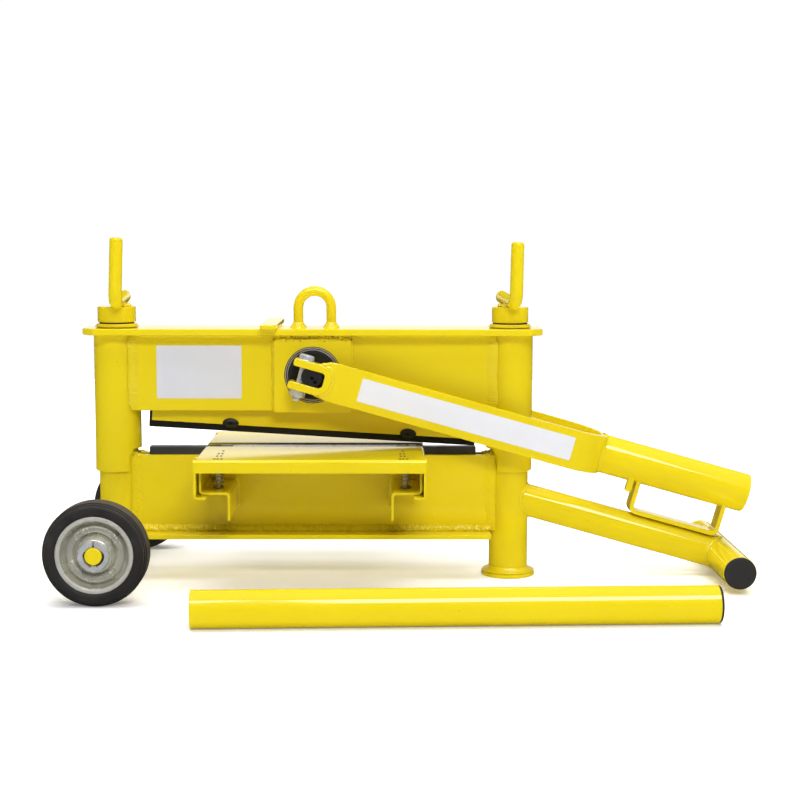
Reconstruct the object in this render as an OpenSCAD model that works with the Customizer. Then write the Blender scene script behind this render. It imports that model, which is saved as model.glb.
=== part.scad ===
// Masonry block splitter: a guillotine frame for paving stones and blocks.
// A screwed upper beam with an eccentric-driven rocking blade stands over a
// fixed lower blade between two sprung tables. Two wheels and a round foot
// carry it. Millimetres, +Z up, X along the blades, -Y is the front.
// The origin is the centre of the underside of the round foot.

/* [Columns and sleeves] */
// Half of the distance between the two columns
col_x = 245; // [243:1:260]
// Outer diameter of the columns
col_d = 48.3; // [47:0.1:48.5]
// Wall of the columns
col_wall = 4; // [3:0.5:4.5]
// Outer diameter of the sleeves
sleeve_d = 57; // [56.5:0.5:60]
// Bore of the sleeves
sleeve_bore = 49; // [48.95:0.05:49.5]
// Height of the lower edge of the sleeves
sleeve_bottom = 133.5; // [131:0.5:140]

/* [Upper beam] */
// Height of the top of the top plate
plate_top = 312.4; // [312:0.1:318]
// Thickness of the top plate
plate_t = 8; // [6:0.5:8]
// Width of the top plate
plate_w = 82; // [78:1:86]
// Overhang of the top plate past the column axes
plate_over = 38.5; // [38:0.5:44]
// Height of the lower edge of the upper web plates
web_bottom = 210.5; // [208:0.5:212]
// Distance of the outer faces of the upper web plates from the middle plane
web_out = 24; // [23:0.5:25]
// Thickness of the upper web plates
web_t = 8; // [6:0.5:8]

/* [Eccentric] */
// Height of the eccentric axis
cam_z = 255.5; // [254:0.1:257]
// Diameter of the journals
journal_d = 60; // [56:1:60]
// Radial clearance of the journals in their bushes
journal_clear = 0.06; // [0.03:0.01:0.1]
// Outer diameter of the bushes
bush_d = 70; // [66:1:72]
// Reach of the cam at the lowest blade position
cam_high = 24; // [22:0.5:25]
// Lift of the blade over the full swing of the lever
cam_lift = 12; // [8:0.5:12]
// Full swing of the lever in degrees
lever_swing = 121; // [100:1:121]

/* [Blades] */
// Length of the lower blade
blade_l = 408; // [400:1:410]
// Height of the edge of the lower blade
blade_top = 163.1; // [162.5:0.1:164]
// Tilt of the upper blade at rest in degrees
rock = 3.38; // [3:0.01:3.4]
// Height of the rocking pin
pin_z = 208.4; // [208:0.1:210]
// Diameter of the rocking pin
pin_d = 14; // [12:1:14]

/* [Lever] */
// Slope of the lever at rest in degrees
lever_a = 15.6; // [15:0.1:16]
// Width of the flat bar of the fork
fork_h = 48; // [44:1:50]
// Thickness of the flat bar of the fork
fork_t = 8; // [6:0.5:8]
// Half of the outer width of the fork
fork_w = 57; // [57:0.5:60]
// Distance from the eccentric axis to the back of the fork
fork_end = 376; // [372:1:380]
// Outer diameter of the lever socket
socket_d = 48.3; // [47.5:0.1:49]
// Bore of the lever socket
socket_bore = 43.1; // [42.9:0.1:43.5]
// Distance from the eccentric axis to the mouth of the socket
socket_end = 565; // [560:1:580]

/* [Lower frame] */
// Height of the underside of the base plate
base_z = 52.4; // [50:0.1:54]
// Thickness of the base plate
base_t = 6; // [5:0.5:8]
// Width of the base plate
base_w = 90; // [80:1:96]
// Height of the top of the lower web plates
low_web_top = 153.8; // [152:0.1:157]
// Diameter of the foot
foot_d = 66.6; // [60:0.1:70]
// Diameter of the tail tube and the crossbar
tail_d = 40; // [38:0.5:41]
// Distance from the column to the crossbar
bar_x = 268.3; // [260:0.1:275]
// Height of the crossbar axis
bar_z = 26.5; // [24:0.1:28]
// Length of the crossbar with its plugs
bar_l = 249; // [220:1:260]

/* [Tables] */
// Height of the tables
table_top = 164.8; // [164.6:0.1:166]
// Half of the length of a table along the blade
table_x = 136.9; // [136:0.1:138]
// Distance of the outer edges of the tables from the blade
table_out = 137.4; // [130:0.1:142]
// Distance of the inner edges of the tables from the blade
table_in = 18; // [17.5:0.5:22]
// Sheet thickness of the tables and rails
sheet = 3; // [2.5:0.1:3]

/* [Wheels] */
// Diameter of the wheels
wheel_d = 122; // [120:1:130]
// Distance of the outer tyre faces from the middle plane
wheel_out = 186; // [180:1:190]
// Width of the tyres
tyre_w = 37; // [32:1:40]
// Diameter of the axle
axle_d = 20; // [18:0.5:20]

/* [Extension tube] */
// Outer diameter of the loose extension tube
ext_d = 42.4; // [42:0.1:42.4]
// Wall of the extension tube
ext_wall = 3.2; // [2.5:0.1:4]
// Length of the extension tube
ext_l = 586; // [560:1:640]
// Distance of the middle of the tube in front of the blades
ext_y = -266.4; // [-280:0.1:-255]
// Slant of the tube on the floor in degrees
ext_a = 2.3; // [0:0.1:4]

/* [Hidden] */
$fn = 64;
yellow = [0.91, 0.80, 0.10];
black = [0.12, 0.12, 0.12];
zinc = [0.78, 0.80, 0.80];
steel = [0.55, 0.54, 0.52];
rubber = [0.16, 0.15, 0.16];

col_r = col_d / 2;
col_in = col_r - col_wall;
sleeve_r = sleeve_d / 2;
plate_under = plate_top - plate_t;
web_in = web_out - web_t;
boss_t = 8;
boss_out = web_out + boss_t;
boss_half = 47.5;
boss_low = 209.2;
boss_high = 298.3;
col_top = 290;
nut_flange = 4;
spindle_r = 12;
base_top = base_z + base_t;
low_web_out = 17;
low_web_t = 8;
low_web_in = low_web_out - low_web_t;
inner_half = 11;          // half thickness of the yoke and the carrier
cam_half = 11.5;          // half thickness of the cam
stub_r = 13;
stub_flat = 9.6;
clamp_t = 9.4;
clamp_in = 38;            // clamp bar along Y
clamp_out = 60;
clamp_end = 5.5;          // centre of the round end of the clamp
clamp_tip = -26;
clamp_drop = 1.8;         // clamp slot below the middle of the lever
bolt_x = -12;
bolt_y = 49;
ring_t = 2.7;             // each of the two thrust washers
hub_low = 318.4;
hub_high = 338.4;
hub_r = 23.4;
rod_r = 8;
rod_out = 38;
rail_x = 131.5;           // outer face of the upper leg of a rail
rail_low_x = 97.5;        // outer face of the lower leg of a rail
rail_z = 123.8;           // top of the rail flange
rail_y = 120;
rail_shift = 2;           // right rail and springs stand further out
table_shift = 0.9;        // middle of the tables towards the lever
spring_x = 112;
spring_y = 85;
wheel_x = 0;              // axle stands on the axis of the left column
wheel_in = wheel_out - tyre_w;
wheel_z = wheel_d / 2;
stop_x = -63;
screw_x = [-97.4, 124.4]; // blade screws, from the rocking pin
screw_z = -21.5;
cam_rate = cam_lift / (lever_swing * PI / 180);
ext_x = 169.1;            // middle of the extension tube from the middle of the frame

// Frame of the columns' middle to the frame of the foot
module at_mid() { translate([-col_x, 0, 0]) children(); }
// One child at each of the two columns
module at_columns() { for (s = [-1, 1]) translate([s * col_x, 0, 0]) children(); }
// Frame along the lever: x along it from the eccentric axis, z across it
module at_lever() { translate([0, 0, cam_z]) rotate([0, lever_a, 0]) children(); }
// Frame of the tilted carrier, from the rocking pin
module at_carrier() { translate([-5, 0, pin_z]) rotate([0, rock, 0]) children(); }
// Cylinder along Y from y0 to y1
module ycyl(r, y0, y1) { translate([0, y1, 0]) rotate([90, 0, 0]) cylinder(r = r, h = y1 - y0); }
// Cylinder along X from x0 to x1
module xcyl(r, x0, x1) { translate([x0, 0, 0]) rotate([0, 90, 0]) cylinder(r = r, h = x1 - x0); }
// Outline in x and z, pulled along Y from y0 to y1
module yslab(y0, y1) { translate([0, y1, 0]) rotate([90, 0, 0]) linear_extrude(y1 - y0) children(); }
// Box from one corner to the other
module box(a, b) { translate(a) cube(b - a); }
// Rectangle with round corners from one corner to the other
module round_rect(a, b, r) {
    translate([a[0] + r, a[1]]) square([b[0] - a[0] - 2 * r, b[1] - a[1]]);
    translate([a[0], a[1] + r]) square([b[0] - a[0], b[1] - a[1] - 2 * r]);
    for (x = [a[0] + r, b[0] - r], y = [a[1] + r, b[1] - r]) translate([x, y]) circle(r = r);
}

// ---- lower frame ----
module left_column() {
    color(yellow) at_mid() translate([-col_x, 0, 0]) difference() {
        translate([0, 0, 44]) cylinder(r = col_r, h = col_top - 44);
        translate([0, 0, 43]) cylinder(r = col_in, h = col_top - 42);
        translate([0, 0, wheel_z]) ycyl(axle_d / 2, -40, 40);
    }
}
module right_column() {
    color(yellow) at_mid() translate([col_x, 0, 0]) difference() {
        translate([0, 0, 7]) cylinder(r = col_r, h = col_top - 7);
        translate([0, 0, 6]) cylinder(r = col_in, h = col_top);
    }
}
module spindle_nuts() {
    color(steel) at_mid() at_columns() difference() {
        union() {
            translate([0, 0, col_top]) cylinder(r = col_r - 0.4, h = nut_flange);
            translate([0, 0, col_top - 24]) cylinder(r = col_in, h = 25);
        }
        translate([0, 0, col_top - 25]) cylinder(r = spindle_r + 0.35, h = 40);
    }
}
// Lower web plate between the columns, slotted for the table rails
module lower_web(s) {
    difference() {
        box([-col_x + 10, min(s * low_web_in, s * low_web_out), base_top],
            [col_x - 10, max(s * low_web_in, s * low_web_out), low_web_top]);
        at_columns() translate([0, 0, 0]) cylinder(r = col_r, h = 400);
        mirror([1, 0, 0]) table_rail();
        translate([rail_shift, 0, 0]) table_rail();
    }
}
module front_lower_web() { color(yellow) at_mid() lower_web(-1); }
module rear_lower_web() { color(yellow) at_mid() lower_web(1); }
module base_plate() {
    color(yellow) at_mid() difference() {
        box([-col_x + 24, -base_w / 2, base_z], [col_x - 24, base_w / 2, base_top]);
        at_columns() translate([0, 0, base_z - 1]) cylinder(r = col_r, h = base_t + 2);
    }
}
module lower_blade() {
    color(black) at_mid() translate([-1.2, 0, 0]) yslab_x(blade_l)
        polygon([[-low_web_in, 128], [low_web_in, 128], [low_web_in, blade_top - 1], [low_web_in - 1, blade_top],
            [-low_web_in + 1, blade_top], [-low_web_in, blade_top - 1]]);
}
// Outline in y and z, pulled along X, centred
module yslab_x(l) { translate([-l / 2, 0, 0]) rotate([90, 0, 90]) linear_extrude(l) children(); }
module foot_disc() {
    color(yellow) at_mid() translate([col_x, 0, 0]) cylinder(r = foot_d / 2, h = 7);
}
module tail_tube() {
    len = bar_x / cos(lever_a) - 8;
    color(yellow) at_mid() difference() {
        translate([col_x + bar_x, 0, bar_z]) rotate([0, lever_a, 0]) difference() {
            xcyl(tail_d / 2, -len - 8, -8);
            xcyl(tail_d / 2 - 3, -len - 9, 0);
        }
        translate([col_x, 0, 0]) cylinder(r = col_r, h = 300);
        translate([col_x + bar_x, 0, bar_z]) ycyl(tail_d / 2, -200, 200);
    }
}
module crossbar() {
    color(yellow) at_mid() translate([col_x + bar_x, 0, bar_z]) difference() {
        ycyl(tail_d / 2, -bar_l / 2 + 3, bar_l / 2 - 3);
        ycyl(tail_d / 2 - 3, -bar_l, bar_l);
    }
}
module crossbar_plugs() {
    color(black) at_mid() translate([col_x + bar_x, 0, bar_z]) for (m = [0, 1]) mirror([0, m, 0]) {
        ycyl(tail_d / 2 - 0.6, -bar_l / 2, -bar_l / 2 + 3);
        ycyl(tail_d / 2 - 3, -bar_l / 2 + 2, -bar_l / 2 + 16);
    }
}
module axle() {
    color(yellow) at_mid() translate([-col_x, 0, wheel_z]) ycyl(axle_d / 2, -wheel_out - 4.5, wheel_out + 4.5);
}
module axle_collars() {
    color(yellow) at_mid() translate([-col_x, 0, wheel_z]) for (m = [0, 1]) mirror([0, m, 0]) difference() {
        ycyl(15, -wheel_in + 0.6, -wheel_in + 4.6);
        ycyl(axle_d / 2, -300, 300);
    }
}
module axle_rings() {
    color(zinc) at_mid() translate([-col_x, 0, wheel_z]) for (m = [0, 1]) mirror([0, m, 0]) difference() {
        ycyl(17.5, -wheel_out - 2.6, -wheel_out - 0.6);
        ycyl(axle_d / 2, -300, 300);
    }
}
// Folded rail that carries one end of both tables
module table_rail() {
    for (m = [0, 1]) mirror([0, m, 0])
        box([rail_x - sheet, low_web_out + 2, rail_z - sheet], [rail_x, rail_y, 150.5]);
    box([rail_low_x - sheet, -rail_y, rail_z - sheet], [rail_x, rail_y, rail_z]);
    box([rail_low_x - sheet, -rail_y, 89.6], [rail_low_x, rail_y, rail_z]);
}
module left_table_rail() { color(yellow) at_mid() mirror([1, 0, 0]) table_rail(); }
module right_table_rail() { color(yellow) at_mid() translate([rail_shift, 0, 0]) table_rail(); }
module spring_studs() {
    color(zinc) at_mid() for (x = [-spring_x, spring_x + rail_shift], y = [-1, 1]) translate([x, y * spring_y, rail_z])
        cylinder(r = 2.7, h = 25);
}
module springs(y) {
    color(zinc) at_mid() for (x = [-spring_x, spring_x + rail_shift]) translate([x, y * spring_y, rail_z]) difference() {
        cylinder(r = 7, h = table_top - sheet - rail_z);
        translate([0, 0, -1]) cylinder(r = 4.6, h = 60);
    }
}
module front_springs() { springs(-1); }
module rear_springs() { springs(1); }

// ---- upper beam ----
// Sleeve whose lower inner side is cut away past the lower web plates
module sleeve() {
    difference() {
        translate([0, 0, sleeve_bottom]) cylinder(r = sleeve_r, h = plate_under - sleeve_bottom);
        translate([0, 0, sleeve_bottom - 1]) cylinder(r = sleeve_bore / 2, h = 400);
        box([16, -40, sleeve_bottom - 1], [40, 40, 162]);
    }
}
module left_sleeve() { color(yellow) at_mid() translate([-col_x, 0, 0]) sleeve(); }
module right_sleeve() { color(yellow) at_mid() translate([col_x, 0, 0]) mirror([1, 0, 0]) sleeve(); }
module top_plate() {
    e = col_x + plate_over;
    c = 15;
    w = plate_w / 2;
    color(yellow) at_mid() difference() {
        translate([0, 0, plate_under]) linear_extrude(plate_t)
            polygon([[-e, -w + c], [-e + c, -w], [e - c, -w], [e, -w + c], [e, w - c], [e - c, w], [-e + c, w], [-e, w - c]]);
        at_columns() translate([0, 0, plate_under - 1]) cylinder(r = spindle_r + 0.08, h = plate_t + 2);
    }
}
module upper_web(s) {
    difference() {
        box([-col_x + 10, min(s * web_in, s * web_out), web_bottom], [col_x - 10, max(s * web_in, s * web_out), plate_under]);
        at_columns() cylinder(r = sleeve_r, h = 400);
        translate([0, 0, cam_z]) ycyl(bush_d / 2, -60, 60);
    }
}
module front_upper_web() { color(yellow) at_mid() upper_web(-1); }
module rear_upper_web() { color(yellow) at_mid() upper_web(1); }
module boss_plate(s) {
    difference() {
        box([-boss_half, min(s * web_out, s * boss_out), boss_low], [boss_half, max(s * web_out, s * boss_out), boss_high]);
        translate([0, 0, cam_z]) ycyl(bush_d / 2, -60, 60);
    }
}
module front_boss_plate() { color(yellow) at_mid() boss_plate(-1); }
module rear_boss_plate() { color(yellow) at_mid() boss_plate(1); }
module cam_bushes() {
    color([0.62, 0.58, 0.55]) at_mid() translate([0, 0, cam_z]) for (m = [0, 1]) mirror([0, m, 0]) difference() {
        ycyl(bush_d / 2, -boss_out - 1, -web_in);
        ycyl(journal_d / 2 + journal_clear, -80, 0);
    }
}
module yoke_guides() {
    color(yellow) at_mid() for (m = [0, 1]) mirror([m, 0, 0])
        box([36.7, -web_in, 238], [46.7, web_in, plate_under]);
}
module lifting_eye() {
    color(yellow) at_mid() translate([1.5, 0, 0]) {
        for (s = [-1, 1]) translate([s * 20.5, 0, plate_top]) cylinder(r = 6, h = 24.7);
        translate([0, 0, plate_top + 24.7]) rotate([90, 0, 0]) rotate_extrude(angle = 180) translate([20.5, 0]) circle(r = 6);
    }
}
module lever_stop() {
    color(yellow) at_mid() box([stop_x, -55, plate_top], [stop_x + 20, 100, plate_top + 6]);
}
module thrust_washers() {
    color(yellow) at_mid() at_columns() {
        difference() {
            translate([0, 0, plate_top]) cylinder(r = 26.7, h = ring_t);
            translate([0, 0, plate_top - 1]) cylinder(r = spindle_r + 0.5, h = 10);
        }
        difference() {
            translate([0, 0, plate_top + ring_t]) cylinder(r = 26.2, h = ring_t);
            translate([0, 0, plate_top - 1]) cylinder(r = spindle_r + 0.5, h = 12);
        }
    }
}

// ---- cranks ----
module crank_hub(r) {
    difference() {
        translate([0, 0, hub_low]) cylinder(r = r, h = hub_high - hub_low);
        translate([0, 0, hub_low - 1]) cylinder(r = spindle_r, h = 16);
    }
}
// Bent rod: a leg across the hub and a nearly upright grip at the front
module crank_rod(off, turn, lean, top) {
    b = 12;
    h = top - hub_high - rod_r - b;
    rotate([0, 0, turn]) translate([off, 0, hub_high + rod_r]) rotate([0, lean, 0]) {
        ycyl(rod_r, -rod_out + b, 33);
        translate([0, -rod_out + b, b]) rotate([0, 0, -90]) rotate([90, 0, 0])
            rotate([0, 0, -90]) rotate_extrude(angle = 90) translate([b, 0]) circle(r = rod_r);
        translate([0, -rod_out, b]) cylinder(r = rod_r, h = h - 2.5);
        translate([0, -rod_out, b + h - 2.5]) cylinder(r1 = rod_r, r2 = rod_r - 2.5, h = 2.5);
    }
}
// Screw spindle with the collar that holds it under the top plate
module spindle() {
    translate([0, 0, 132]) cylinder(r = spindle_r, h = hub_low + 15 - 132);
    translate([0, 0, col_top + nut_flange + 2.5]) cylinder(r = 18, h = plate_under - 0.5 - col_top - nut_flange - 2.5);
}
module left_crank_hub() { color(yellow) at_mid() translate([-col_x, 0, 0]) crank_hub(hub_r); }
module left_crank_rod() { color(yellow) at_mid() translate([-col_x, 0, 0]) crank_rod(4.5, 0, 1.9, 423.7); }
module left_spindle() { color(steel) at_mid() translate([-col_x, 0, 0]) spindle(); }
module right_crank_hub() { color(yellow) at_mid() translate([col_x, 0, 0]) crank_hub(hub_r - 0.9); }
module right_crank_rod() { color(yellow) at_mid() translate([col_x, 0, 0]) crank_rod(-2.5, 10.4, 1, 419.2); }
module right_spindle() { color(steel) at_mid() translate([col_x, 0, 0]) spindle(); }

// ---- eccentric and lever ----
// Point of the cam whose flat follower distance is p at the direction a, with slope d
function cam_point(a, p, d) = [p * cos(a) - d * sin(a), p * sin(a) + d * cos(a)];
// The lower side falls and the upper side rises at the same even rate
function cam_lower(t) = cam_point(-90 - t, cam_high - cam_rate * t * PI / 180, cam_rate);
function cam_upper(t) = cam_point(90 - t, cam_high - cam_lift + cam_rate * t * PI / 180, -cam_rate);
cam_edge = concat([for (t = [-8 : 4.5 : lever_swing + 8]) cam_lower(t)], [for (t = [-8 : 4.5 : lever_swing + 8]) cam_upper(t)]);
module cam_shaft() {
    color(black) at_mid() translate([0, 0, cam_z]) {
        yslab(-cam_half, cam_half) polygon(cam_edge);
        ycyl(8, -boss_out - 4, boss_out + 4);
        for (m = [0, 1]) mirror([0, m, 0]) ycyl(journal_d / 2, -boss_out - 2, -cam_half);
        rotate([0, lever_a, 0]) for (m = [0, 1]) mirror([0, m, 0]) difference() {
            intersection() {
                ycyl(stub_r, -59, -boss_out - 2);
                yslab(-80, 0) clamp_outline(stub_flat);
            }
            translate([bolt_x, -bolt_y, -20]) cylinder(r = 5.4, h = 40);
        }
    }
}
// Plan of the fork, open towards the eccentric
module fork_plan(x0, w, end, r) {
    translate([x0, -w]) square([end - r - x0, 2 * w]);
    translate([end - r - 1, -w + r]) square([r + 1, 2 * (w - r)]);
    for (s = [-1, 1]) translate([end - r, s * (w - r)]) circle(r = r);
}
module clamp_outline(r) {
    translate([clamp_tip, -r - clamp_drop]) square([clamp_end - clamp_tip, 2 * r]);
    translate([clamp_end, -clamp_drop]) circle(r = r);
}
module lever_fork() {
    color(yellow) at_mid() at_lever() difference() {
        translate([0, 0, -fork_h / 2]) linear_extrude(fork_h) difference() {
            fork_plan(20, fork_w, fork_end, 52);
            fork_plan(0, fork_w - fork_t, fork_end - fork_t, 44);
        }
        yslab(-80, 80) clamp_outline(stub_flat + clamp_t);
    }
}
module lever_socket() {
    color(yellow) at_mid() at_lever() difference() {
        xcyl(socket_d / 2, fork_end, socket_end);
        xcyl(socket_bore / 2, fork_end + 8, socket_end + 10);
    }
}
module shaft_clamps() {
    color(yellow) at_mid() at_lever() for (m = [0, 1]) mirror([0, m, 0]) difference() {
        yslab(-clamp_out, -clamp_in) difference() {
            clamp_outline(stub_flat + clamp_t);
            translate([-10, 0]) clamp_outline(stub_flat);
            clamp_outline(stub_flat);
        }
        translate([bolt_x, -bolt_y, -40]) cylinder(r = 5.2, h = 80);
    }
}
module clamp_bolts() {
    h = stub_flat + clamp_t;
    color(zinc) at_mid() at_lever() for (m = [0, 1]) mirror([0, m, 0]) translate([bolt_x, -bolt_y, -clamp_drop]) {
        translate([0, 0, -h - 14]) cylinder(r = 5, h = 2 * h + 14);
        translate([0, 0, h]) rotate([0, 0, 20]) cylinder(r = 9.8, h = 6.4, $fn = 6);
    }
}
module clamp_nuts() {
    h = stub_flat + clamp_t;
    color(zinc) at_mid() at_lever() for (m = [0, 1]) mirror([0, m, 0]) translate([bolt_x, -bolt_y, -h - 8 - clamp_drop]) difference() {
        rotate([0, 0, 12]) cylinder(r = 9.8, h = 8, $fn = 6);
        translate([0, 0, -1]) cylinder(r = 5, h = 10);
    }
}
module lever_loop() {
    drop = (bar_x + col_x) * sin(lever_a) + (bar_z - cam_z) * cos(lever_a) + tail_d / 2 + 0.4;
    color(yellow) at_mid() at_lever() difference() {
        yslab(-14, 14) difference() {
            round_rect([426.5, drop], [544, -5], 10);
            round_rect([432, drop + 5.5], [538.5, 5], 4.5);
        }
        xcyl(socket_d / 2, 400, 600);
    }
}
module socket_lug() {
    color(yellow) at_mid() at_lever() difference() {
        box([415, -15, -36.5], [423, -7, -15]);
        xcyl(socket_d / 2, 400, 600);
    }
}

// ---- yoke and blade carrier ----
module cam_yoke() {
    low = cam_z - cam_high - 0.4;
    high = cam_z + cam_high - cam_lift + 0.4;
    color(steel) at_mid() difference() {
        union() {
            yslab(-inner_half, inner_half) difference() {
                translate([-36.3, low - 9]) square([72.6, high - low + 18]);
                translate([-26.3, low]) square([52.6, high - low]);
            }
            translate([-5, 0, 0]) box([-14, -5, pin_z], [14, 5, low - 8]);
            translate([-5, 0, pin_z]) ycyl(14, -5, 5);
        }
        translate([-5, 0, pin_z]) ycyl(pin_d / 2, -20, 20);
    }
}
// Pin in a blind hole, covered by the side walls of the carrier
module rocking_pin() {
    color(steel) at_mid() translate([-5, 0, pin_z]) ycyl(pin_d / 2, -8, 8);
}
module blade_carrier() {
    color(yellow) at_mid() at_carrier() difference() {
        yslab(-inner_half, inner_half) polygon([[-195.8, -23.1], [208.3, -23.1], [208.3, 38], [58, 38], [58, 10], [-48, 10], [-48, 38], [-195.4, 38]]);
        box([-300, -9, -32], [300, 9, -7.4]);
        box([-19, -5.6, -18], [19, 5.6, 60]);
        ycyl(pin_d / 2 + 0.05, -8.2, 8.2);
        for (x = screw_x) translate([x, 0, screw_z]) ycyl(5, -30, 30);
    }
}
module upper_blade() {
    color(black) at_mid() at_carrier() difference() {
        translate([4.65, 0, 0]) yslab_x(407.3)
            polygon([[-9, -29.5], [-7, -31.5], [7, -31.5], [9, -29.5], [9, -7.4], [-9, -7.4]]);
        for (x = screw_x) translate([x, 0, screw_z]) ycyl(5, -30, 30);
        box([-19, -5.6, -18], [19, 5.6, 60]);
    }
}
module blade_screws() {
    color(black) at_mid() at_carrier() for (x = screw_x) translate([x, 0, screw_z]) {
        ycyl(5, -inner_half, inner_half);
        ycyl(9.5, -inner_half - 4.2, -inner_half);
        ycyl(9.5, inner_half, inner_half + 4.2);
    }
}

// ---- tables ----
// Folded tray: front flange, hooked side flanges
module table() {
    lip = rail_z - sheet - 0.4;
    box([-table_x, -table_out, table_top - sheet], [table_x, -table_in, table_top]);
    box([-table_x, -table_out, 149.3], [table_x, -table_out + sheet, table_top]);
    for (m = [0, 1]) mirror([m, 0, 0]) {
        box([table_x - sheet, -table_out, lip - sheet], [table_x, -20, table_top]);
        box([table_x - 14, -table_out, lip - sheet], [table_x, -20, lip]);
    }
}
module front_table() { color(yellow) at_mid() translate([table_shift, 0, 0]) table(); }
module rear_table() { color(yellow) at_mid() translate([table_shift, 0, 0]) mirror([0, 1, 0]) table(); }

// ---- wheels ----
module tyre() {
    r = wheel_d / 2;
    w = tyre_w / 2;
    translate([0, -wheel_out + w, 0]) rotate([90, 0, 0]) rotate_extrude($fn = 96)
        polygon([[45.2, -w + 3], [48, -w], [r - 4.6, -w], [r - 1.4, -w + 4.5], [r, -w + 11], [r, w - 11], [r - 1.4, w - 4.5], [r - 4.6, w], [48, w], [45.2, w - 3]]);
}
module rim() {
    w = tyre_w / 2;
    translate([0, -wheel_out + w, 0]) rotate([90, 0, 0]) rotate_extrude($fn = 96)
        polygon([[12, -w + 0.2], [16, -w + 0.2], [20, -w + 4], [34, -w + 8], [40, -w + 3], [45.2, -w + 3], [45.2, w - 3], [40, w - 3], [34, w - 8], [20, w - 4], [16, w - 0.2], [12, w - 0.2]]);
}
module wheel_bush() {
    difference() {
        ycyl(12, -wheel_out + 0.2, -wheel_in - 0.2);
        ycyl(axle_d / 2 + 0.08, -300, 300);
    }
}
module at_wheel(m) { at_mid() translate([-col_x, 0, wheel_z]) mirror([0, m, 0]) children(); }
module front_tyre() { color(rubber) at_wheel(0) tyre(); }
module front_rim() { color(zinc) at_wheel(0) rim(); }
module front_wheel_bush() { color(steel) at_wheel(0) wheel_bush(); }
module rear_tyre() { color(rubber) at_wheel(1) tyre(); }
module rear_rim() { color(zinc) at_wheel(1) rim(); }
module rear_wheel_bush() { color(steel) at_wheel(1) wheel_bush(); }

// ---- loose extension tube on the floor ----
module at_ext() { at_mid() translate([ext_x, ext_y, ext_d / 2]) rotate([0, 0, ext_a]) children(); }
module extension_tube() {
    color(yellow) at_ext() difference() {
        xcyl(ext_d / 2, -ext_l / 2, ext_l / 2 - 3);
        xcyl(ext_d / 2 - ext_wall, -ext_l, ext_l);
    }
}
module extension_plug() {
    color(black) at_ext() union() {
        xcyl(ext_d / 2 - 0.4, ext_l / 2 - 3, ext_l / 2);
        xcyl(ext_d / 2 - ext_wall, ext_l / 2 - 16, ext_l / 2 - 2);
    }
}

left_column();
right_column();
spindle_nuts();
front_lower_web();
rear_lower_web();
base_plate();
lower_blade();
foot_disc();
tail_tube();
crossbar();
crossbar_plugs();
axle();
axle_collars();
axle_rings();
left_table_rail();
right_table_rail();
spring_studs();
front_springs();
rear_springs();
left_sleeve();
right_sleeve();
top_plate();
front_upper_web();
rear_upper_web();
front_boss_plate();
rear_boss_plate();
cam_bushes();
yoke_guides();
lifting_eye();
lever_stop();
thrust_washers();
left_crank_hub();
left_crank_rod();
left_spindle();
right_crank_hub();
right_crank_rod();
right_spindle();
cam_shaft();
lever_fork();
lever_socket();
shaft_clamps();
clamp_bolts();
clamp_nuts();
lever_loop();
socket_lug();
cam_yoke();
rocking_pin();
blade_carrier();
upper_blade();
blade_screws();
front_table();
rear_table();
front_tyre();
front_rim();
front_wheel_bush();
rear_tyre();
rear_rim();
rear_wheel_bush();
extension_tube();
extension_plug();
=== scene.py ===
import math

import bmesh
import bpy
from mathutils import Matrix, Vector, noise


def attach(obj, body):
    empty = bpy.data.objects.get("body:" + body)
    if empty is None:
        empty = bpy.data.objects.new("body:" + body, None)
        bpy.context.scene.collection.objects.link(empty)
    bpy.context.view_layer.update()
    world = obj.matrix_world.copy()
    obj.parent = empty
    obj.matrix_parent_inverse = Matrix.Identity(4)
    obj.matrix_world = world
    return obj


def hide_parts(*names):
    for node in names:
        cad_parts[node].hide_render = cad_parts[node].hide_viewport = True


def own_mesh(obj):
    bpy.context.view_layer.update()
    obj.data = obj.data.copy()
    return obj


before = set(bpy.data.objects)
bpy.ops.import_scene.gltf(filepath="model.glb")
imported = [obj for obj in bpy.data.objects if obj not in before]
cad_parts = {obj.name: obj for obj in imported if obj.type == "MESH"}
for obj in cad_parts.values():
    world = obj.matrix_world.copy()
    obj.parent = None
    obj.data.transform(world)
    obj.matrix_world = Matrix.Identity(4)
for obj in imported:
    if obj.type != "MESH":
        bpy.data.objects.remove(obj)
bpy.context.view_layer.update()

scene = bpy.context.scene
rad = math.radians

# Frames. Shapes are drawn in millimetres: MID counts x from the middle between
# the columns, LEVER runs along the lever from the eccentric axis, CARRIER lies
# in the tilted blade carrier, TAIL along the tail tube, EXT along the loose tube.
MID = Matrix.Translation((-0.245, 0, 0)) @ Matrix.Diagonal((0.001, 0.001, 0.001, 1))
LEVER = MID @ Matrix.Translation((0, 0, 255.5)) @ Matrix.Rotation(rad(15.6), 4, "Y")
CARRIER = MID @ Matrix.Translation((-5, 0, 208.4)) @ Matrix.Rotation(rad(3.38), 4, "Y")
TAIL = MID @ Matrix.Translation((513.3, 0, 26.5)) @ Matrix.Rotation(rad(15.6), 4, "Y")
EXT = MID @ Matrix.Translation((169.1, -266.4, 21.2)) @ Matrix.Rotation(rad(2.3), 4, "Z")


def at(x, y, z, turn=0):
    return MID @ Matrix.Translation((x, y, z)) @ Matrix.Rotation(rad(turn), 4, "Z")


# ---------------------------------------------------------------- outlines
def arc(cx, cy, r, a0, a1, n=12):
    return [(cx + r * math.cos(rad(a0 + (a1 - a0) * i / n)), cy + r * math.sin(rad(a0 + (a1 - a0) * i / n))) for i in range(n + 1)]


def ease(x):
    x = min(1.0, max(0.0, x))
    return x * x * (3 - 2 * x)


def rect(x0, y0, x1, y1):
    return [(x0, y0), (x1, y0), (x1, y1), (x0, y1)]


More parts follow.
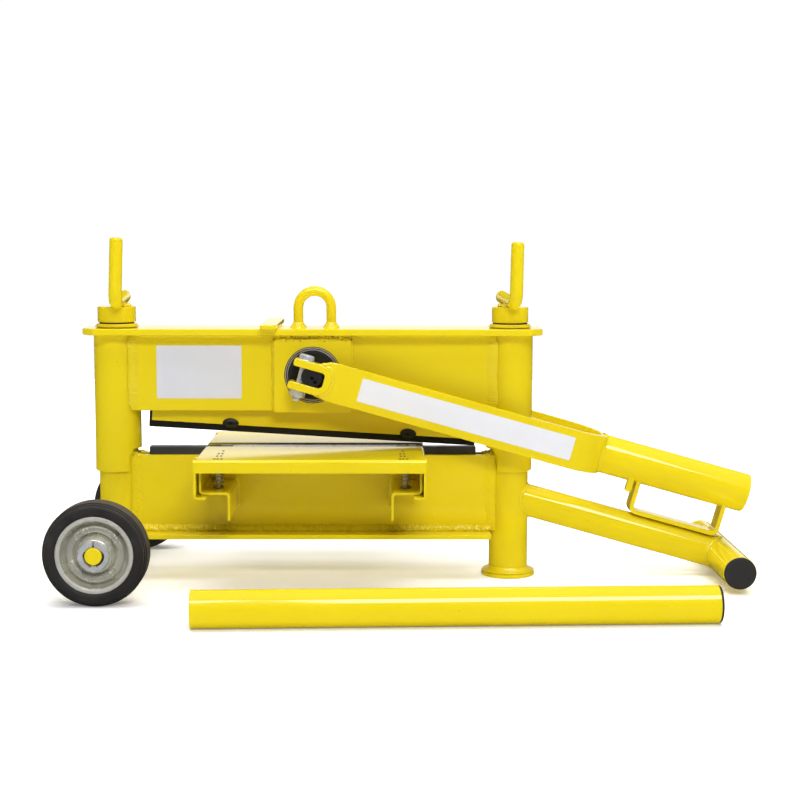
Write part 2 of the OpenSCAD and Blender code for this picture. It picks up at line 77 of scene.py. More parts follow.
def fillet(pts, r, n=5):
    """Closed outline with its corners rounded; r is one radius or one per corner."""
    out, m = [], len(pts)
    for i in range(m):
        p, a, b = Vector(pts[i]), Vector(pts[i - 1]), Vector(pts[(i + 1) % m])
        ri = r[i] if isinstance(r, (list, tuple)) else r
        u, v = a - p, b - p
        lu, lv = u.length, v.length
        if ri <= 0 or lu < 1e-6 or lv < 1e-6:
            out.append(tuple(p))
            continue
        u, v = u / lu, v / lv
        half = u.angle(v) / 2
        if half > rad(89) or half < rad(1):
            out.append(tuple(p))
            continue
        d = min(ri / math.tan(half), 0.48 * lu, 0.48 * lv)
        rr = d * math.tan(half)
        c = p + (u + v).normalized() * (rr / math.sin(half))
        s, e = p + u * d - c, p + v * d - c
        a0, a1 = math.atan2(s.y, s.x), math.atan2(e.y, e.x)
        da = (a1 - a0 + math.pi) % (2 * math.pi) - math.pi
        out += [(c.x + rr * math.cos(a0 + da * k / n), c.y + rr * math.sin(a0 + da * k / n)) for k in range(n + 1)]
    return out


def ribbon(path, t, r_in, n=6):
    """Outline of bent sheet of thickness t along a polyline, with inner bend radius r_in."""
    p = [Vector(q) for q in path]
    sides = []
    for s in (1, -1):
        pts, radii = [], []
        for i in range(len(p)):
            d0 = (p[i] - p[i - 1]).normalized() if i else None
            d1 = (p[i + 1] - p[i]).normalized() if i < len(p) - 1 else None
            n0 = Vector((-d0.y, d0.x)) if d0 else None
            n1 = Vector((-d1.y, d1.x)) if d1 else None
            if d0 is None or d1 is None:
                pts.append(p[i] + (n1 or n0) * (s * t / 2))
                radii.append(0)
            else:
                m = (n0 + n1).normalized()
                pts.append(p[i] + m * (s * t / 2 / m.dot(n0)))
                turn = d0.x * d1.y - d0.y * d1.x
                radii.append(r_in if turn * s > 0 else r_in + t)
        sides.append((pts, radii))
    (l, lr), (q, qr) = sides
    return fillet([tuple(v) for v in l + q[::-1]], lr + qr[::-1], n)


# ---------------------------------------------------------------- solids
def place(plane, u, v, w):
    return {"XZ": (u, w, v), "XY": (u, v, w), "YZ": (w, u, v)}[plane]


def prism(outline, lo, hi, plane="XZ", holes=()):
    bm = bmesh.new()
    caps = [[[bm.verts.new(place(plane, u, v, w)) for u, v in pts] for pts in (outline, *holes)] for w in (lo, hi)]
    for a, b in zip(*caps):
        for i in range(len(a)):
            j = (i + 1) % len(a)
            bm.faces.new((a[i], a[j], b[j], b[i]))
    for rings in caps:
        if len(rings) == 1:
            bm.faces.new(rings[0])
        else:
            edges = [bm.edges.get((r[i], r[(i + 1) % len(r)])) for r in rings for i in range(len(r))]
            bmesh.ops.triangle_fill(bm, use_beauty=True, use_dissolve=False, edges=edges)
    bmesh.ops.recalc_face_normals(bm, faces=bm.faces)
    return bm


def axis_point(axis, r, a, h):
    c, s = r * math.cos(a), r * math.sin(a)
    return {"Z": (c, s, h), "Y": (c, h, s), "X": (h, c, s)}[axis]


def lathe(profile, axis="Z", n=96, bump=None):
    """Closed profile of (radius, height) turned about an axis; bump(r, angle) lifts the height."""
    bm = bmesh.new()
    rings = []
    for r, h in profile:
        if r < 1e-6:
            rings.append([bm.verts.new(axis_point(axis, 0, 0, h))])
        else:
            ring = []
            for i in range(n):
                a = 2 * math.pi * i / n
                ring.append(bm.verts.new(axis_point(axis, r, a, h + (bump(r, h, a) if bump else 0))))
            rings.append(ring)
    for a, b in zip(rings, rings[1:] + rings[:1]):
        if len(a) == 1 and len(b) == 1:
            continue
        for i in range(n):
            j = (i + 1) % n
            if len(a) == 1:
                bm.faces.new((a[0], b[i], b[j]))
            elif len(b) == 1:
                bm.faces.new((a[i], a[j], b[0]))
            else:
                bm.faces.new((a[i], a[j], b[j], b[i]))
    bmesh.ops.recalc_face_normals(bm, faces=bm.faces)
    return bm


def ring_profile(r_in, r_out, lo, hi, e=0.8):
    return fillet([(r_in, lo), (r_out, lo), (r_out, hi), (r_in, hi)], e, 3)


def bar_profile(r, lo, hi, e=1.0):
    return fillet([(0, lo), (r, lo), (r, hi), (0, hi)], [0, e, e, 0], 3)


def sweep(points, radii, n=28):
    """Round rod along points, closed at both ends."""
    p = [Vector(q) for q in points]
    bm = bmesh.new()
    rings = []
    side = None
    for i in range(len(p)):
        t = (p[min(i + 1, len(p) - 1)] - p[max(i - 1, 0)]).normalized()
        if side is None:
            side = t.orthogonal().normalized()
        side = (side - t * side.dot(t)).normalized()
        up = t.cross(side)
        rings.append([bm.verts.new(p[i] + (side * math.cos(2 * math.pi * k / n) + up * math.sin(2 * math.pi * k / n)) * radii[i]) for k in range(n)])
    for a, b in zip(rings, rings[1:]):
        for k in range(n):
            bm.faces.new((a[k], a[(k + 1) % n], b[(k + 1) % n], b[k]))
    bm.faces.new(rings[0])
    bm.faces.new(rings[-1])
    bmesh.ops.recalc_face_normals(bm, faces=bm.faces)
    return bm


def rod(points, r, n=28, e=1.2):
    """Round rod with chamfered ends."""
    p = [Vector(q) for q in points]
    d0, d1 = (p[1] - p[0]).normalized(), (p[-1] - p[-2]).normalized()
    pts = [p[0], p[0] + d0 * e * 0.35, p[0] + d0 * e] + p[1:-1] + [p[-1] - d1 * e, p[-1] - d1 * e * 0.35, p[-1]]
    rr = [r - e, r - e * 0.35, r] + [r] * (len(p) - 2) + [r, r - e * 0.35, r - e]
    return sweep(pts, rr, n)


def joined(*parts):
    bm = bmesh.new()
    for p in parts:
        me = bpy.data.meshes.new("part")
        p.to_mesh(me)
        p.free()
        bm.from_mesh(me)
        bpy.data.meshes.remove(me)
    return bm


def carve(bm, other, how="DIFFERENCE"):
    """Boolean of two closed meshes."""
    obs = []
    for b in (bm, other):
        me = bpy.data.meshes.new("carve")
        b.to_mesh(me)
        b.free()
        o = bpy.data.objects.new("carve", me)
        scene.collection.objects.link(o)
        obs.append(o)
    m = obs[0].modifiers.new("carve", "BOOLEAN")
    m.operation, m.object, m.solver = how, obs[1], "EXACT"
    dg = bpy.context.evaluated_depsgraph_get()
    me = bpy.data.meshes.new_from_object(obs[0].evaluated_get(dg))
    out = bmesh.new()
    out.from_mesh(me)
    bpy.data.meshes.remove(me)
    for o in obs:
        me = o.data
        bpy.data.objects.remove(o)
        bpy.data.meshes.remove(me)
    bmesh.ops.remove_doubles(out, verts=out.verts, dist=1e-3)
    bmesh.ops.dissolve_degenerate(out, dist=1e-3, edges=out.edges)
    return out


def round_edges(bm, w, seg=2, over=32):
    edges = [e for e in bm.edges if len(e.link_faces) == 2 and e.calc_face_angle(0) > rad(over)]
    bmesh.ops.bevel(bm, geom=edges, offset=w, offset_type="OFFSET", segments=seg, profile=0.5, affect="EDGES", clamp_overlap=True)


def make(name, bm, mat, body, nodes=(), frame_=MID, edge=0.0, seg=2, sharp=34, weigh=True):
    if edge:
        round_edges(bm, edge, seg)
    bm.transform(frame_)
    bmesh.ops.recalc_face_normals(bm, faces=bm.faces)
    me = bpy.data.meshes.new(name)
    bm.to_mesh(me)
    bm.free()
    me.polygons.foreach_set("use_smooth", [True] * len(me.polygons))
    me.set_sharp_from_angle(angle=rad(sharp))
    me.materials.append(mat)
    ob = bpy.data.objects.new(name, me)
    scene.collection.objects.link(ob)
    if weigh:
        w = ob.modifiers.new("normals", "WEIGHTED_NORMAL")
        w.keep_sharp, w.weight = True, 80
    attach(ob, body)
    if nodes:
        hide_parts(*nodes)
    return ob


def material(name):
    m = bpy.data.materials.new(name)
    m.use_nodes = True
    nt = m.node_tree
    b = next(n for n in nt.nodes if n.type == "BSDF_PRINCIPLED")
    tc = nt.nodes.new("ShaderNodeTexCoord")
    return m, nt, b, tc.outputs["Object"]


def noise_node(nt, co, scale, detail=3.0, rough=0.55, stretch=None):
    if stretch:
        mp = nt.nodes.new("ShaderNodeMapping")
        mp.inputs["Scale"].default_value = stretch
        nt.links.new(co, mp.inputs["Vector"])
        co = mp.outputs["Vector"]
    t = nt.nodes.new("ShaderNodeTexNoise")
    t.inputs["Scale"].default_value = scale
    t.inputs["Detail"].default_value = detail
    t.inputs["Roughness"].default_value = rough
    nt.links.new(co, t.inputs["Vector"])
    return t.outputs["Fac"]


def ramp(nt, fac, stops):
    r = nt.nodes.new("ShaderNodeValToRGB")
    while len(r.color_ramp.elements) < len(stops):
        r.color_ramp.elements.new(0.5)
    for e, (p, c) in zip(r.color_ramp.elements, stops):
        e.position, e.color = p, (*c, 1) if len(c) == 3 else c
    nt.links.new(fac, r.inputs["Fac"])
    return r.outputs["Color"]


def span(nt, fac, lo, hi, a=0.3, b=0.7):
    m = nt.nodes.new("ShaderNodeMapRange")
    m.inputs["From Min"].default_value, m.inputs["From Max"].default_value = a, b
    m.inputs["To Min"].default_value, m.inputs["To Max"].default_value = lo, hi
    nt.links.new(fac, m.inputs["Value"])
    return m.outputs["Result"]


def blend(nt, how, fac, a, b):
    m = nt.nodes.new("ShaderNodeMix")
    m.data_type, m.blend_type = "RGBA", how
    if isinstance(fac, float):
        m.inputs["Factor"].default_value = fac
    else:
        nt.links.new(fac, m.inputs["Factor"])
    for s, v in (("A", a), ("B", b)):
        k = next(i for i in m.inputs if i.name == s and i.type == "RGBA")
        if isinstance(v, tuple):
            k.default_value = (*v, 1)
        else:
            nt.links.new(v, k)
    return next(o for o in m.outputs if o.type == "RGBA")


def bump(nt, bsdf, height, strength, distance=0.001, before=None):
    b = nt.nodes.new("ShaderNodeBump")
    b.inputs["Strength"].default_value = strength
    b.inputs["Distance"].default_value = distance
    nt.links.new(height, b.inputs["Height"])
    if before is not None:
        nt.links.new(before, b.inputs["Normal"])
    nt.links.new(b.outputs["Normal"], bsdf.inputs["Normal"])
    return b.outputs["Normal"]


def enamel(name, grain=1.0, peel=0.018, spots=0.75, spot_scale=260, shine=0.80):
    m, nt, b, co = material(name)
    big = noise_node(nt, co, 6, 3)
    col = ramp(nt, big, [(0.30, (0.752, 0.588, 0.008)), (0.70, (0.776, 0.612, 0.011))])
    fine = noise_node(nt, co, spot_scale, 2, 0.5)
    dark = (0.72, 0.66, 0.5) if spots > 0.7 else (0.52, 0.41, 0.16)
    specks = ramp(nt, fine, [(0.0, (1, 1, 1)), (spots, (1, 1, 1)), (spots + 0.04, dark)])
    nt.links.new(blend(nt, "MULTIPLY", 1.0, col, specks), b.inputs["Base Color"])
    nt.links.new(span(nt, noise_node(nt, co, 30, 3), 0.07 + 0.10 * (grain - 1), 0.12 + 0.12 * (grain - 1)), b.inputs["Roughness"])
    b.inputs["Specular IOR Level"].default_value = shine
    skin = bump(nt, b, noise_node(nt, co, 300, 2), peel * grain, 0.0010)
    if grain > 1:
        bump(nt, b, noise_node(nt, co, 520, 4, 0.7), 0.22 * (grain - 1), 0.0012, skin)
    return m


def dark_paint(name, tone=0.018, r0=0.22, r1=0.40, shine=0.35):
    m, nt, b, co = material(name)
    big = noise_node(nt, co, 14, 4)
    nt.links.new(ramp(nt, big, [(0.3, (tone * 0.85, tone * 0.83, tone * 0.82)), (0.7, (tone * 1.25, tone * 1.22, tone * 1.20))]), b.inputs["Base Color"])
    nt.links.new(span(nt, noise_node(nt, co, 70, 4), r0, r1), b.inputs["Roughness"])
    b.inputs["Specular IOR Level"].default_value = shine
    bump(nt, b, noise_node(nt, co, 500, 2), 0.05, 0.001)
    return m


def metal(name, light, dark, r0, r1, scale=120, stretch=None, strength=0.05, body=0.5):
    m, nt, b, co = material(name)
    b.inputs["Metallic"].default_value = body
    nt.links.new(ramp(nt, noise_node(nt, co, scale, 5, 0.6, stretch), [(0.32, dark), (0.66, light)]), b.inputs["Base Color"])
    nt.links.new(span(nt, noise_node(nt, co, scale * 0.5, 4), r0, r1), b.inputs["Roughness"])
    bump(nt, b, noise_node(nt, co, scale * 4, 2), strength, 0.0006)
    return m


def rubber(name, low=(0.017, 0.0165, 0.016), mid=(0.024, 0.0225, 0.021), high=(0.040, 0.036, 0.031)):
    m, nt, b, co = material(name)
    dust = noise_node(nt, co, 40, 5, 0.65)
    nt.links.new(ramp(nt, dust, [(0.35, low), (0.62, mid), (0.80, high)]), b.inputs["Base Color"])
    nt.links.new(span(nt, dust, 0.50, 0.70), b.inputs["Roughness"])
    b.inputs["Specular IOR Level"].default_value = 0.30
    bump(nt, b, noise_node(nt, co, 900, 3), 0.20, 0.0008)
    return m


def vinyl(name, k):
    m, nt, b, co = material(name)
    nt.links.new(ramp(nt, noise_node(nt, co, 30, 3), [(0.3, (k * 0.96, k * 0.975, k * 1.07)), (0.7, (k, k * 1.015, k * 1.11))]), b.inputs["Base Color"])
    nt.links.new(span(nt, noise_node(nt, co, 90, 3), 0.32, 0.46), b.inputs["Roughness"])
    bump(nt, b, noise_node(nt, co, 300, 2), 0.03, 0.0006)
    return m


YELLOW = enamel("yellow_enamel")
WELD = enamel("weld_enamel", 2.0)
SEAM = enamel("rough_seam", 2.0, spots=0.61, spot_scale=190)
SPATTER = enamel("weld_spatter", 1.30, spots=0.72, spot_scale=420, shine=0.42)
BLACK = dark_paint("black_enamel", tone=0.044, r0=0.30, r1=0.45)
# Same black paint as the lower blade, made darker: painted shade for the upper blade.
SHADED_BLADE_PAINT = dark_paint("blade_enamel_painted_shade", tone=0.010, r0=0.34, r1=0.48, shine=0.22)
# Oiled black steel for the eccentric and the blade bolts; the same finish also serves as painted shade in the gap under
# the crank hubs.
OILED_BLACK_AND_GAP_SHADE = dark_paint("oiled_black_and_gap_shade", tone=0.017, r0=0.30, r1=0.5, shine=0.3)
PLUG = dark_paint("black_moulding", 0.024, 0.45, 0.60)
# Matte near-black used only as painted shade: the gaps round the bushes and the punched dents on the table.
SHADE_PAINT = dark_paint("painted_shade", 0.02, 0.75, 0.95, shine=0.0)
ZINC = metal("zinc_bright", (0.76, 0.78, 0.82), (0.62, 0.64, 0.68), 0.24, 0.38)
RIM = metal("zinc_rim", (0.69, 0.685, 0.595), (0.57, 0.565, 0.48), 0.24, 0.34, 50, strength=0.012, body=0.56)
LIP = metal("zinc_lip", (0.56, 0.55, 0.50), (0.45, 0.44, 0.40), 0.38, 0.50, 90, body=0.25)
# Bare ground steel on the lower blade's top; its near-white tone is partly a painted highlight of the light the top
# reflects.
GROUND_STEEL_AND_SHEEN = metal("ground_steel_and_painted_sheen", (0.90, 0.90, 0.90), (0.84, 0.83, 0.81), 0.26, 0.31, 160, stretch=(0.06, 1.0, 1.0), strength=0.006, body=0.40)
BUSH = metal("bush_steel", (0.60, 0.565, 0.565), (0.45, 0.42, 0.42), 0.28, 0.44, 90)
STEEL = metal("turned_steel", (0.55, 0.54, 0.53), (0.40, 0.39, 0.38), 0.28, 0.42, 150)
SPRING = metal("spring_wire", (0.42, 0.43, 0.38), (0.24, 0.25, 0.21), 0.22, 0.40, 200, body=0.6)
STUD = metal("stud_steel", (0.72, 0.74, 0.68), (0.56, 0.58, 0.52), 0.24, 0.40, 150, body=0.4)
TYRE = rubber("solid_rubber")
# Dusty brown rubber of the tread band; on the shoulder ledges the same light rubber is a painted highlight.
DUSTY_TREAD_AND_RIB_HIGHLIGHT = rubber("dusty_rubber_and_rib_highlight", (0.060, 0.051, 0.043), (0.098, 0.081, 0.067), (0.150, 0.124, 0.102))
LABEL = vinyl("blank_vinyl", 0.735)
STICKER = vinyl("blank_sticker", 0.635)


# ---------------------------------------------------------------- weld beads
def resample(path, step):
    p = [Vector(q) for q in path]
    total = sum((b - a).length for a, b in zip(p, p[1:]))
    n = max(4, round(total / step))
    out, i, done = [], 0, 0.0
    for k in range(n + 1):
        s = total * k / n
        while i < len(p) - 2 and s > done + (p[i + 1] - p[i]).length:
            done += (p[i + 1] - p[i]).length
            i += 1
        seg = (p[i + 1] - p[i]).length
        out.append(p[i] + (p[i + 1] - p[i]) * min(1, (s - done) / seg))
    return out


def bead(path, out, w=7.0, h=2.0, seed=1, pitch=4.2, n=14, closed=False, ripple=0.3, lump=0.25, grit=0.12, step=0.9):
    """Laid weld bead: w wide, h proud of the surface that faces out (a vector, or a function of the point).
    ripple is the share of the scales in the height, lump that of the slow unevenness, grit the fine roughness in mm."""
    pts = resample(path, step)
    if closed:
        pts = pts[:-1]
    m = len(pts)
    bm = bmesh.new()
    rings = []
    for i, p in enumerate(pts):
        a, b = (pts[i - 1], pts[(i + 1) % m]) if closed else (pts[max(i - 1, 0)], pts[min(i + 1, m - 1)])
        t = (b - a).normalized()
        o = (out(p) if callable(out) else Vector(out)).normalized()
        o = (o - t * o.dot(t)).normalized()
        side = t.cross(o)
        s = i * step
        wob = noise.noise(Vector((s * 0.055, seed * 3.1, 0.5)))
        slow = noise.noise(Vector((s * 0.16, seed * 5.7, 2.5)))
        end = 1.0 if closed else min(1.0, math.sqrt((min(i, m - 1 - i) * step + 0.15) / (0.55 * w)))
        ring = []
        for k in range(n):
            an = 2 * math.pi * k / n
            ca, sa = math.cos(an), math.sin(an)
            # the scales bow along the bead, so that their edges are curved
            f = ((s + 0.5 * pitch * (1 - ca * ca)) / pitch + 0.3 * wob) % 1.0
            scale = ripple * (1 - f * f - 0.45)
            x = ca * (w / 2) * (1 + 0.5 * lump * slow + 0.15 * scale) * end
            up = sa if sa < 0 else sa ** 1.35
            z = up * h * (0.85 + scale + lump * slow) * end
            rough = noise.noise(p * 0.45 + Vector((k * 0.9, seed * 1.7, 0))) + 0.9 * noise.noise(p * 1.1 + Vector((k * 1.3, seed, 4)))
            ring.append(bm.verts.new(p + side * (x + wob * 0.06 * w) + o * (z + (rough * grit * end if sa > -0.1 else 0))))
        rings.append(ring)
    pairs = list(zip(rings, rings[1:])) + ([(rings[-1], rings[0])] if closed else [])
    for a, b in pairs:
        for k in range(n):
            bm.faces.new((a[k], a[(k + 1) % n], b[(k + 1) % n], b[k]))
    if not closed:
        bm.faces.new(rings[0])
        bm.faces.new(rings[-1])
    bmesh.ops.recalc_face_normals(bm, faces=bm.faces)
    return bm


def crumb(c, r, seed, flat=0.7):
    """Uneven lump of weld spatter."""
    bm = bmesh.new()
    bmesh.ops.create_icosphere(bm, subdivisions=3, radius=1.0)
    for v in bm.verts:
        d = v.co.normalized()
        k = r * (1 + 0.35 * noise.noise(d * 1.6 + Vector((seed * 2.3, 0, 0))) + 0.12 * noise.noise(d * 4 + Vector((0, seed, 0))))
        v.co = Vector(c) + Vector((d.x * k, d.y * k, d.z * k * flat))
    return bm


def flare(profile, seed, ripple=0.35, n=112, pitch=22):
    """Turned weld fillet with uneven scales round it; profile of (radius, height), the inner points stay true."""
    inner = min(r for r, h in profile)
    def lift(r, h, a):
        k = min(1.0, (r - inner) / 2.0)
        return k * (ripple * math.sin(a * pitch + 0.8 * noise.noise(Vector((math.cos(a) * 2, math.sin(a) * 2, seed))) * 4)
                    + 1.2 * ripple * noise.noise(Vector((math.cos(a) * 5, math.sin(a) * 5, seed + h))))
    return lathe(profile, "Z", n, lift)


def circle3(c, u, v, r, n=72):
    c, u, v = Vector(c), Vector(u), Vector(v)
    return [c + u * (r * math.cos(2 * math.pi * i / n)) + v * (r * math.sin(2 * math.pi * i / n)) for i in range(n + 1)]


def weld(name, body, *beads, frame_=MID, mat=None):
    return make(name, joined(*beads), mat or WELD, body, frame_=frame_, sharp=70, weigh=False)


# ---------------------------------------------------------------- lower frame
LOW = "lower_frame"
make("column_left", lathe(ring_profile(20.15, 24.15, 44, 290), n=112), YELLOW, LOW, ["left_column"], at(-245, 0, 0))
make("column_right", lathe(ring_profile(20.15, 24.15, 7, 290), n=112), YELLOW, LOW, ["right_column"], at(245, 0, 0))
for side, s, node in (("front", -1, "front_lower_web"), ("rear", 1, "rear_lower_web")):
    plate = [(-223.4, s * 9), (223.4, s * 9), (228.2, s * 17), (-228.2, s * 17)]
    make("lower_web_" + side, prism(plate, 58.4, 153.8, "XY"), YELLOW, LOW, [node], edge=0.8)
make("bottom_plate", prism(rect(-221, -45, 221, 45), 52.4, 58.4, "XY"), YELLOW, LOW, ["base_plate"], edge=1.0)
make("blade_lower", prism([(-9, 128), (9, 128), (9, 162.2), (8.1, 163.05), (-8.1, 163.05), (-9, 162.2)], -205.2, 202.8, "YZ"),
     BLACK, LOW, ["lower_blade"], edge=0.3)
# Ground strip on the lower blade: bare steel whose near-white tone is partly painted highlight.
make("blade_ground", prism(fillet(rect(-102, -7.6, 103, 7.6), 1.0, 3), 162.6, 163.1, "XY"), GROUND_STEEL_AND_SHEEN, LOW, edge=0.15, seg=1)
disc = [(0, 0), (31.9, 0), (32.9, 0.5), (33.3, 1.5), (33.3, 4.4), (32.0, 4.8), (32.0, 5.7), (33.2, 6.0), (33.0, 6.5), (32.4, 6.9), (31.6, 7), (0, 7)]
make("foot", lathe(disc, n=96), YELLOW, LOW, ["foot_disc"], at(245, 0, 0))
make("tail", lathe(ring_profile(17, 20, -266, -10), "X", n=96), YELLOW, LOW, ["tail_tube"], TAIL)
make("tail_bar", lathe(ring_profile(17, 20, -121.5, 121.5), "Y", n=96), YELLOW, LOW, ["crossbar"], at(513.3, 0, 26.5))
cap = [(0, -124.5), (13, -124.45), (17.6, -124.0), (19.0, -123.2), (19.4, -122.3), (19.4, -121.5), (17, -121.5), (17, -110), (15.5, -108.5), (0, -108.5)]
make("tail_caps", joined(lathe(cap, "Y"), lathe([(r, -h) for r, h in cap], "Y")), PLUG, LOW, ["crossbar_plugs"], at(513.3, 0, 26.5))
AXLE = 61.0
make("wheel_axle", lathe(bar_profile(10, -190.5, 190.5, 1.2), "Y", n=64), YELLOW, LOW, ["axle"], at(-245, 0, AXLE))
make("axle_stops", joined(*[lathe(ring_profile(10, 15, *h, 0.7), "Y", n=64) for h in ((-148.4, -144.4), (144.4, 148.4))]),
     YELLOW, LOW, ["axle_collars"], at(-245, 0, AXLE))


def lock_ring():
    """Snap ring with a slit between two ears at the top and two notches below."""
    outer, inner = [], []
    n = 150
    for i in range(n + 1):
        a = 96.5 + 347 * i / n
        ear = max(0.0, 1 - min(abs(a - 96.5), abs(a - 443.5)) / 13)
        r = 17.5 - 1.6 * ear ** 3
        outer.append((r * math.cos(rad(a)), r * math.sin(rad(a))))
        low = abs(a - 270)
        r = 10.5 + 2.1 * ease((min(abs(a - 90), abs(a - 450)) - 45) / 40)
        if low < 23:
            r = 10.7 if low < 13 else 13.7
        inner.append((r * math.cos(rad(a)), r * math.sin(rad(a))))
    return outer + inner[::-1]


make("axle_locks", joined(prism(lock_ring(), -188.6, -186.6), prism(lock_ring(), 186.6, 188.6)), ZINC, LOW, ["axle_rings"],
     at(-245, 0, AXLE), edge=0.3, seg=1)

RAIL_X = {"left": 0.0, "right": 2.0}
zed = ribbon([(130, 150.5), (130, 122.3), (96, 122.3), (96, 89.6)], 3, 2.4)
for side, s in (("left", -1), ("right", 1)):
    d = RAIL_X[side]
    bm = carve(prism([(s * x + d, z) for x, z in zed], -120, 120), prism(rect(s * 130 + d - 8, 127, s * 130 + d + 8, 160), -19, 19))
    round_edges(bm, 0.45, 2, 60)
    make("rail_" + side, bm, YELLOW, LOW, [side + "_table_rail"])

SPRINGS = (-112, 114)
pins = []
for x in SPRINGS:
    for y in (-85, 85):
        pin = lathe([(0, 123.8), (2.7, 123.8), (2.7, 147.4), (2.0, 148.5), (0, 148.8)], n=32)
        bmesh.ops.translate(pin, vec=(x, y, 0), verts=pin.verts)
        pins.append(pin)
make("spring_pins", joined(*pins), STUD, LOW, ["spring_studs"])


def coil(x, y, z0, z1, r, wire, turns):
    pts, n = [], 26
    count = int(turns * n)
    for i in range(count + 1):
        f = i / count
        # flat first and last turns
        rise = min(1, max(0, (f * turns - 0.9) / (turns - 1.8)))
        pts.append((x + r * math.cos(2 * math.pi * i / n), y + r * math.sin(2 * math.pi * i / n), z0 + wire + (z1 - z0 - 2 * wire) * rise))
    return sweep(pts, [wire] * len(pts), 10)


for side, s, node, joint in (("front", -1, "front_springs", "front_table_press"), ("rear", 1, "rear_springs", "rear_table_press")):
    ob = make("coils_" + side, joined(*[coil(x, s * 85, 123.8, 161.8, 6.5, 0.62, 9.5) for x in SPRINGS]), SPRING, LOW, [node], sharp=80, weigh=False)
    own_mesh(ob)

# ---------------------------------------------------------------- upper beam
UP = "upper_frame"


def sleeve(s):
    """Tube whose lower inner side is cut away, with a slanted corner."""
    n, half = 96, 56.0
    th = sorted(set([round(i * 360 / n, 4) for i in range(n)] + [half, half - 14, 360 - half, 360 - half + 14]))
    rows = [133.5, 151.0, 162.0, 304.4]
    bm = bmesh.new()
    v = [[bm.verts.new((s * 28.5 * math.cos(rad(a)), 28.5 * math.sin(rad(a)), z)) for z in rows] for a in th]
    for i in range(len(th)):
        j = (i + 1) % len(th)
        a0, a1 = th[i], th[j] if j else 360.0
        inside = lambda a: a <= half + 1e-6 or a >= 360 - half - 1e-6
        deep = lambda a: a <= half - 14 + 1e-6 or a >= 360 - half + 14 - 1e-6
        for k in range(3):
            q = (v[i][k], v[j][k], v[j][k + 1], v[i][k + 1])
            if k == 0 and inside(a0) and inside(a1):
                continue
            if k == 1 and deep(a0) and deep(a1):
                continue
            bm.faces.new(q)
    # slanted corner: the row-1 points of the corner strip climb to row 2 towards the cut
    for i, a in enumerate(th):
        for lo, hi, sgn in ((half - 14, half, 1), (360 - half, 360 - half + 14, -1)):
            if lo - 1e-6 <= a <= hi + 1e-6:
                f = (hi - a) / 14 if sgn > 0 else (a - lo) / 14
                v[i][1].co.z = 151.0 + (162.0 - 151.0) * f * 0.98
    loose = [x for x in bm.verts if not x.link_faces]
    bmesh.ops.delete(bm, geom=loose, context="VERTS")
    bmesh.ops.recalc_face_normals(bm, faces=bm.faces)
    bmesh.ops.solidify(bm, geom=bm.faces[:], thickness=4.0)
    # both walls on their true radii
    for x in bm.verts:
        r = math.hypot(x.co.x, x.co.y)
        k = (28.5 if r > 26.6 else 24.5) / r
        x.co.x, x.co.y = x.co.x * k, x.co.y * k
    rim = [e for e in bm.edges if all(abs(v.co.z - 133.5) < 0.2 and math.hypot(v.co.x, v.co.y) > 28 for v in e.verts)]
    bmesh.ops.bevel(bm, geom=rim, offset=1.5, offset_type="OFFSET", segments=3, profile=0.5, affect="EDGES", clamp_overlap=True)
    return bm


make("sleeve_left", sleeve(1), YELLOW, UP, ["left_sleeve"], at(-245, 0, 0), edge=0.7)
make("sleeve_right", sleeve(-1), YELLOW, UP, ["right_sleeve"], at(245, 0, 0), edge=0.7)
plan = [(-283.5, -26), (-268.5, -41), (268.5, -41), (283.5, -26), (283.5, 26), (268.5, 41), (-268.5, 41), (-283.5, 26)]
make("beam_plate", prism(fillet(plan, 9, 6), 304.4, 312.4, "XY"), YELLOW, UP, ["top_plate"], edge=1.2)
hole = arc(0, 255.5, 35, 0, 360, 72)[:-1]
for side, s in (("front", -1), ("rear", 1)):
    lo, hi = sorted((s * 16, s * 24))
    make("beam_web_" + side, prism(rect(-226, 210.5, 226, 304.4), lo, hi, holes=[hole]), YELLOW, UP, [side + "_upper_web"], edge=0.9)
    lo, hi = sorted((s * 24, s * 32))
    make("boss_" + side, prism(fillet(rect(-47.5, 209.2, 47.5, 298.3), 2.0, 3), lo, hi, holes=[hole]), YELLOW, UP, [side + "_boss_plate"], edge=1.1)
face = [(30.06, -16), (34.2, -16), (34.2, -32.2), (33.9, -32.8), (33.6, -33), (33.1, -32.9), (32.8, -32.2), (32.7, -30.0), (31.9, -30.0), (31.8, -32.2), (31.5, -32.7), (31.1, -32.8), (30.7, -32.6), (30.4, -32.0), (30.06, -30.0)]
make("eccentric_bushes", joined(lathe(face, "Y", 112), lathe([(r, -h) for r, h in face], "Y", 112)), BUSH, UP, ["cam_bushes"], at(0, 0, 255.5))
# Thin matte dark rings in the gap round each bush and in the groove of its face: painted shade where these gaps fall
# dark.
gap_shade_rings = [lathe([(r, m * h) for r, h in line], "Y", 112) for m in (-1, 1) for line in (ring_profile(34.25, 34.98, 20, 31.3, 0.1), ring_profile(31.95, 32.65, 29.6, 30.9, 0.1))]
make("bush_gap_shade", joined(*gap_shade_rings), SHADE_PAINT, UP, ["cam_bushes"], at(0, 0, 255.5))
eye = [(22, 0, 311.5), (22, 0, 325), (22, 0, 337.1)] + [(1.5 + 20.5 * math.cos(rad(a)), 0, 337.1 + 20.5 * math.sin(rad(a))) for a in range(6, 180, 6)] + [(-19, 0, 337.1), (-19, 0, 325), (-19, 0, 311.5)]
make("eye", sweep(eye, [6] * len(eye), 28), YELLOW, UP, ["lifting_eye"])
make("stop_bar", prism(fillet(rect(-63, -55, -43, 100), 2.2, 4), 312.4, 318.4, "XY"), YELLOW, UP, ["lever_stop"], edge=1.3, seg=3)
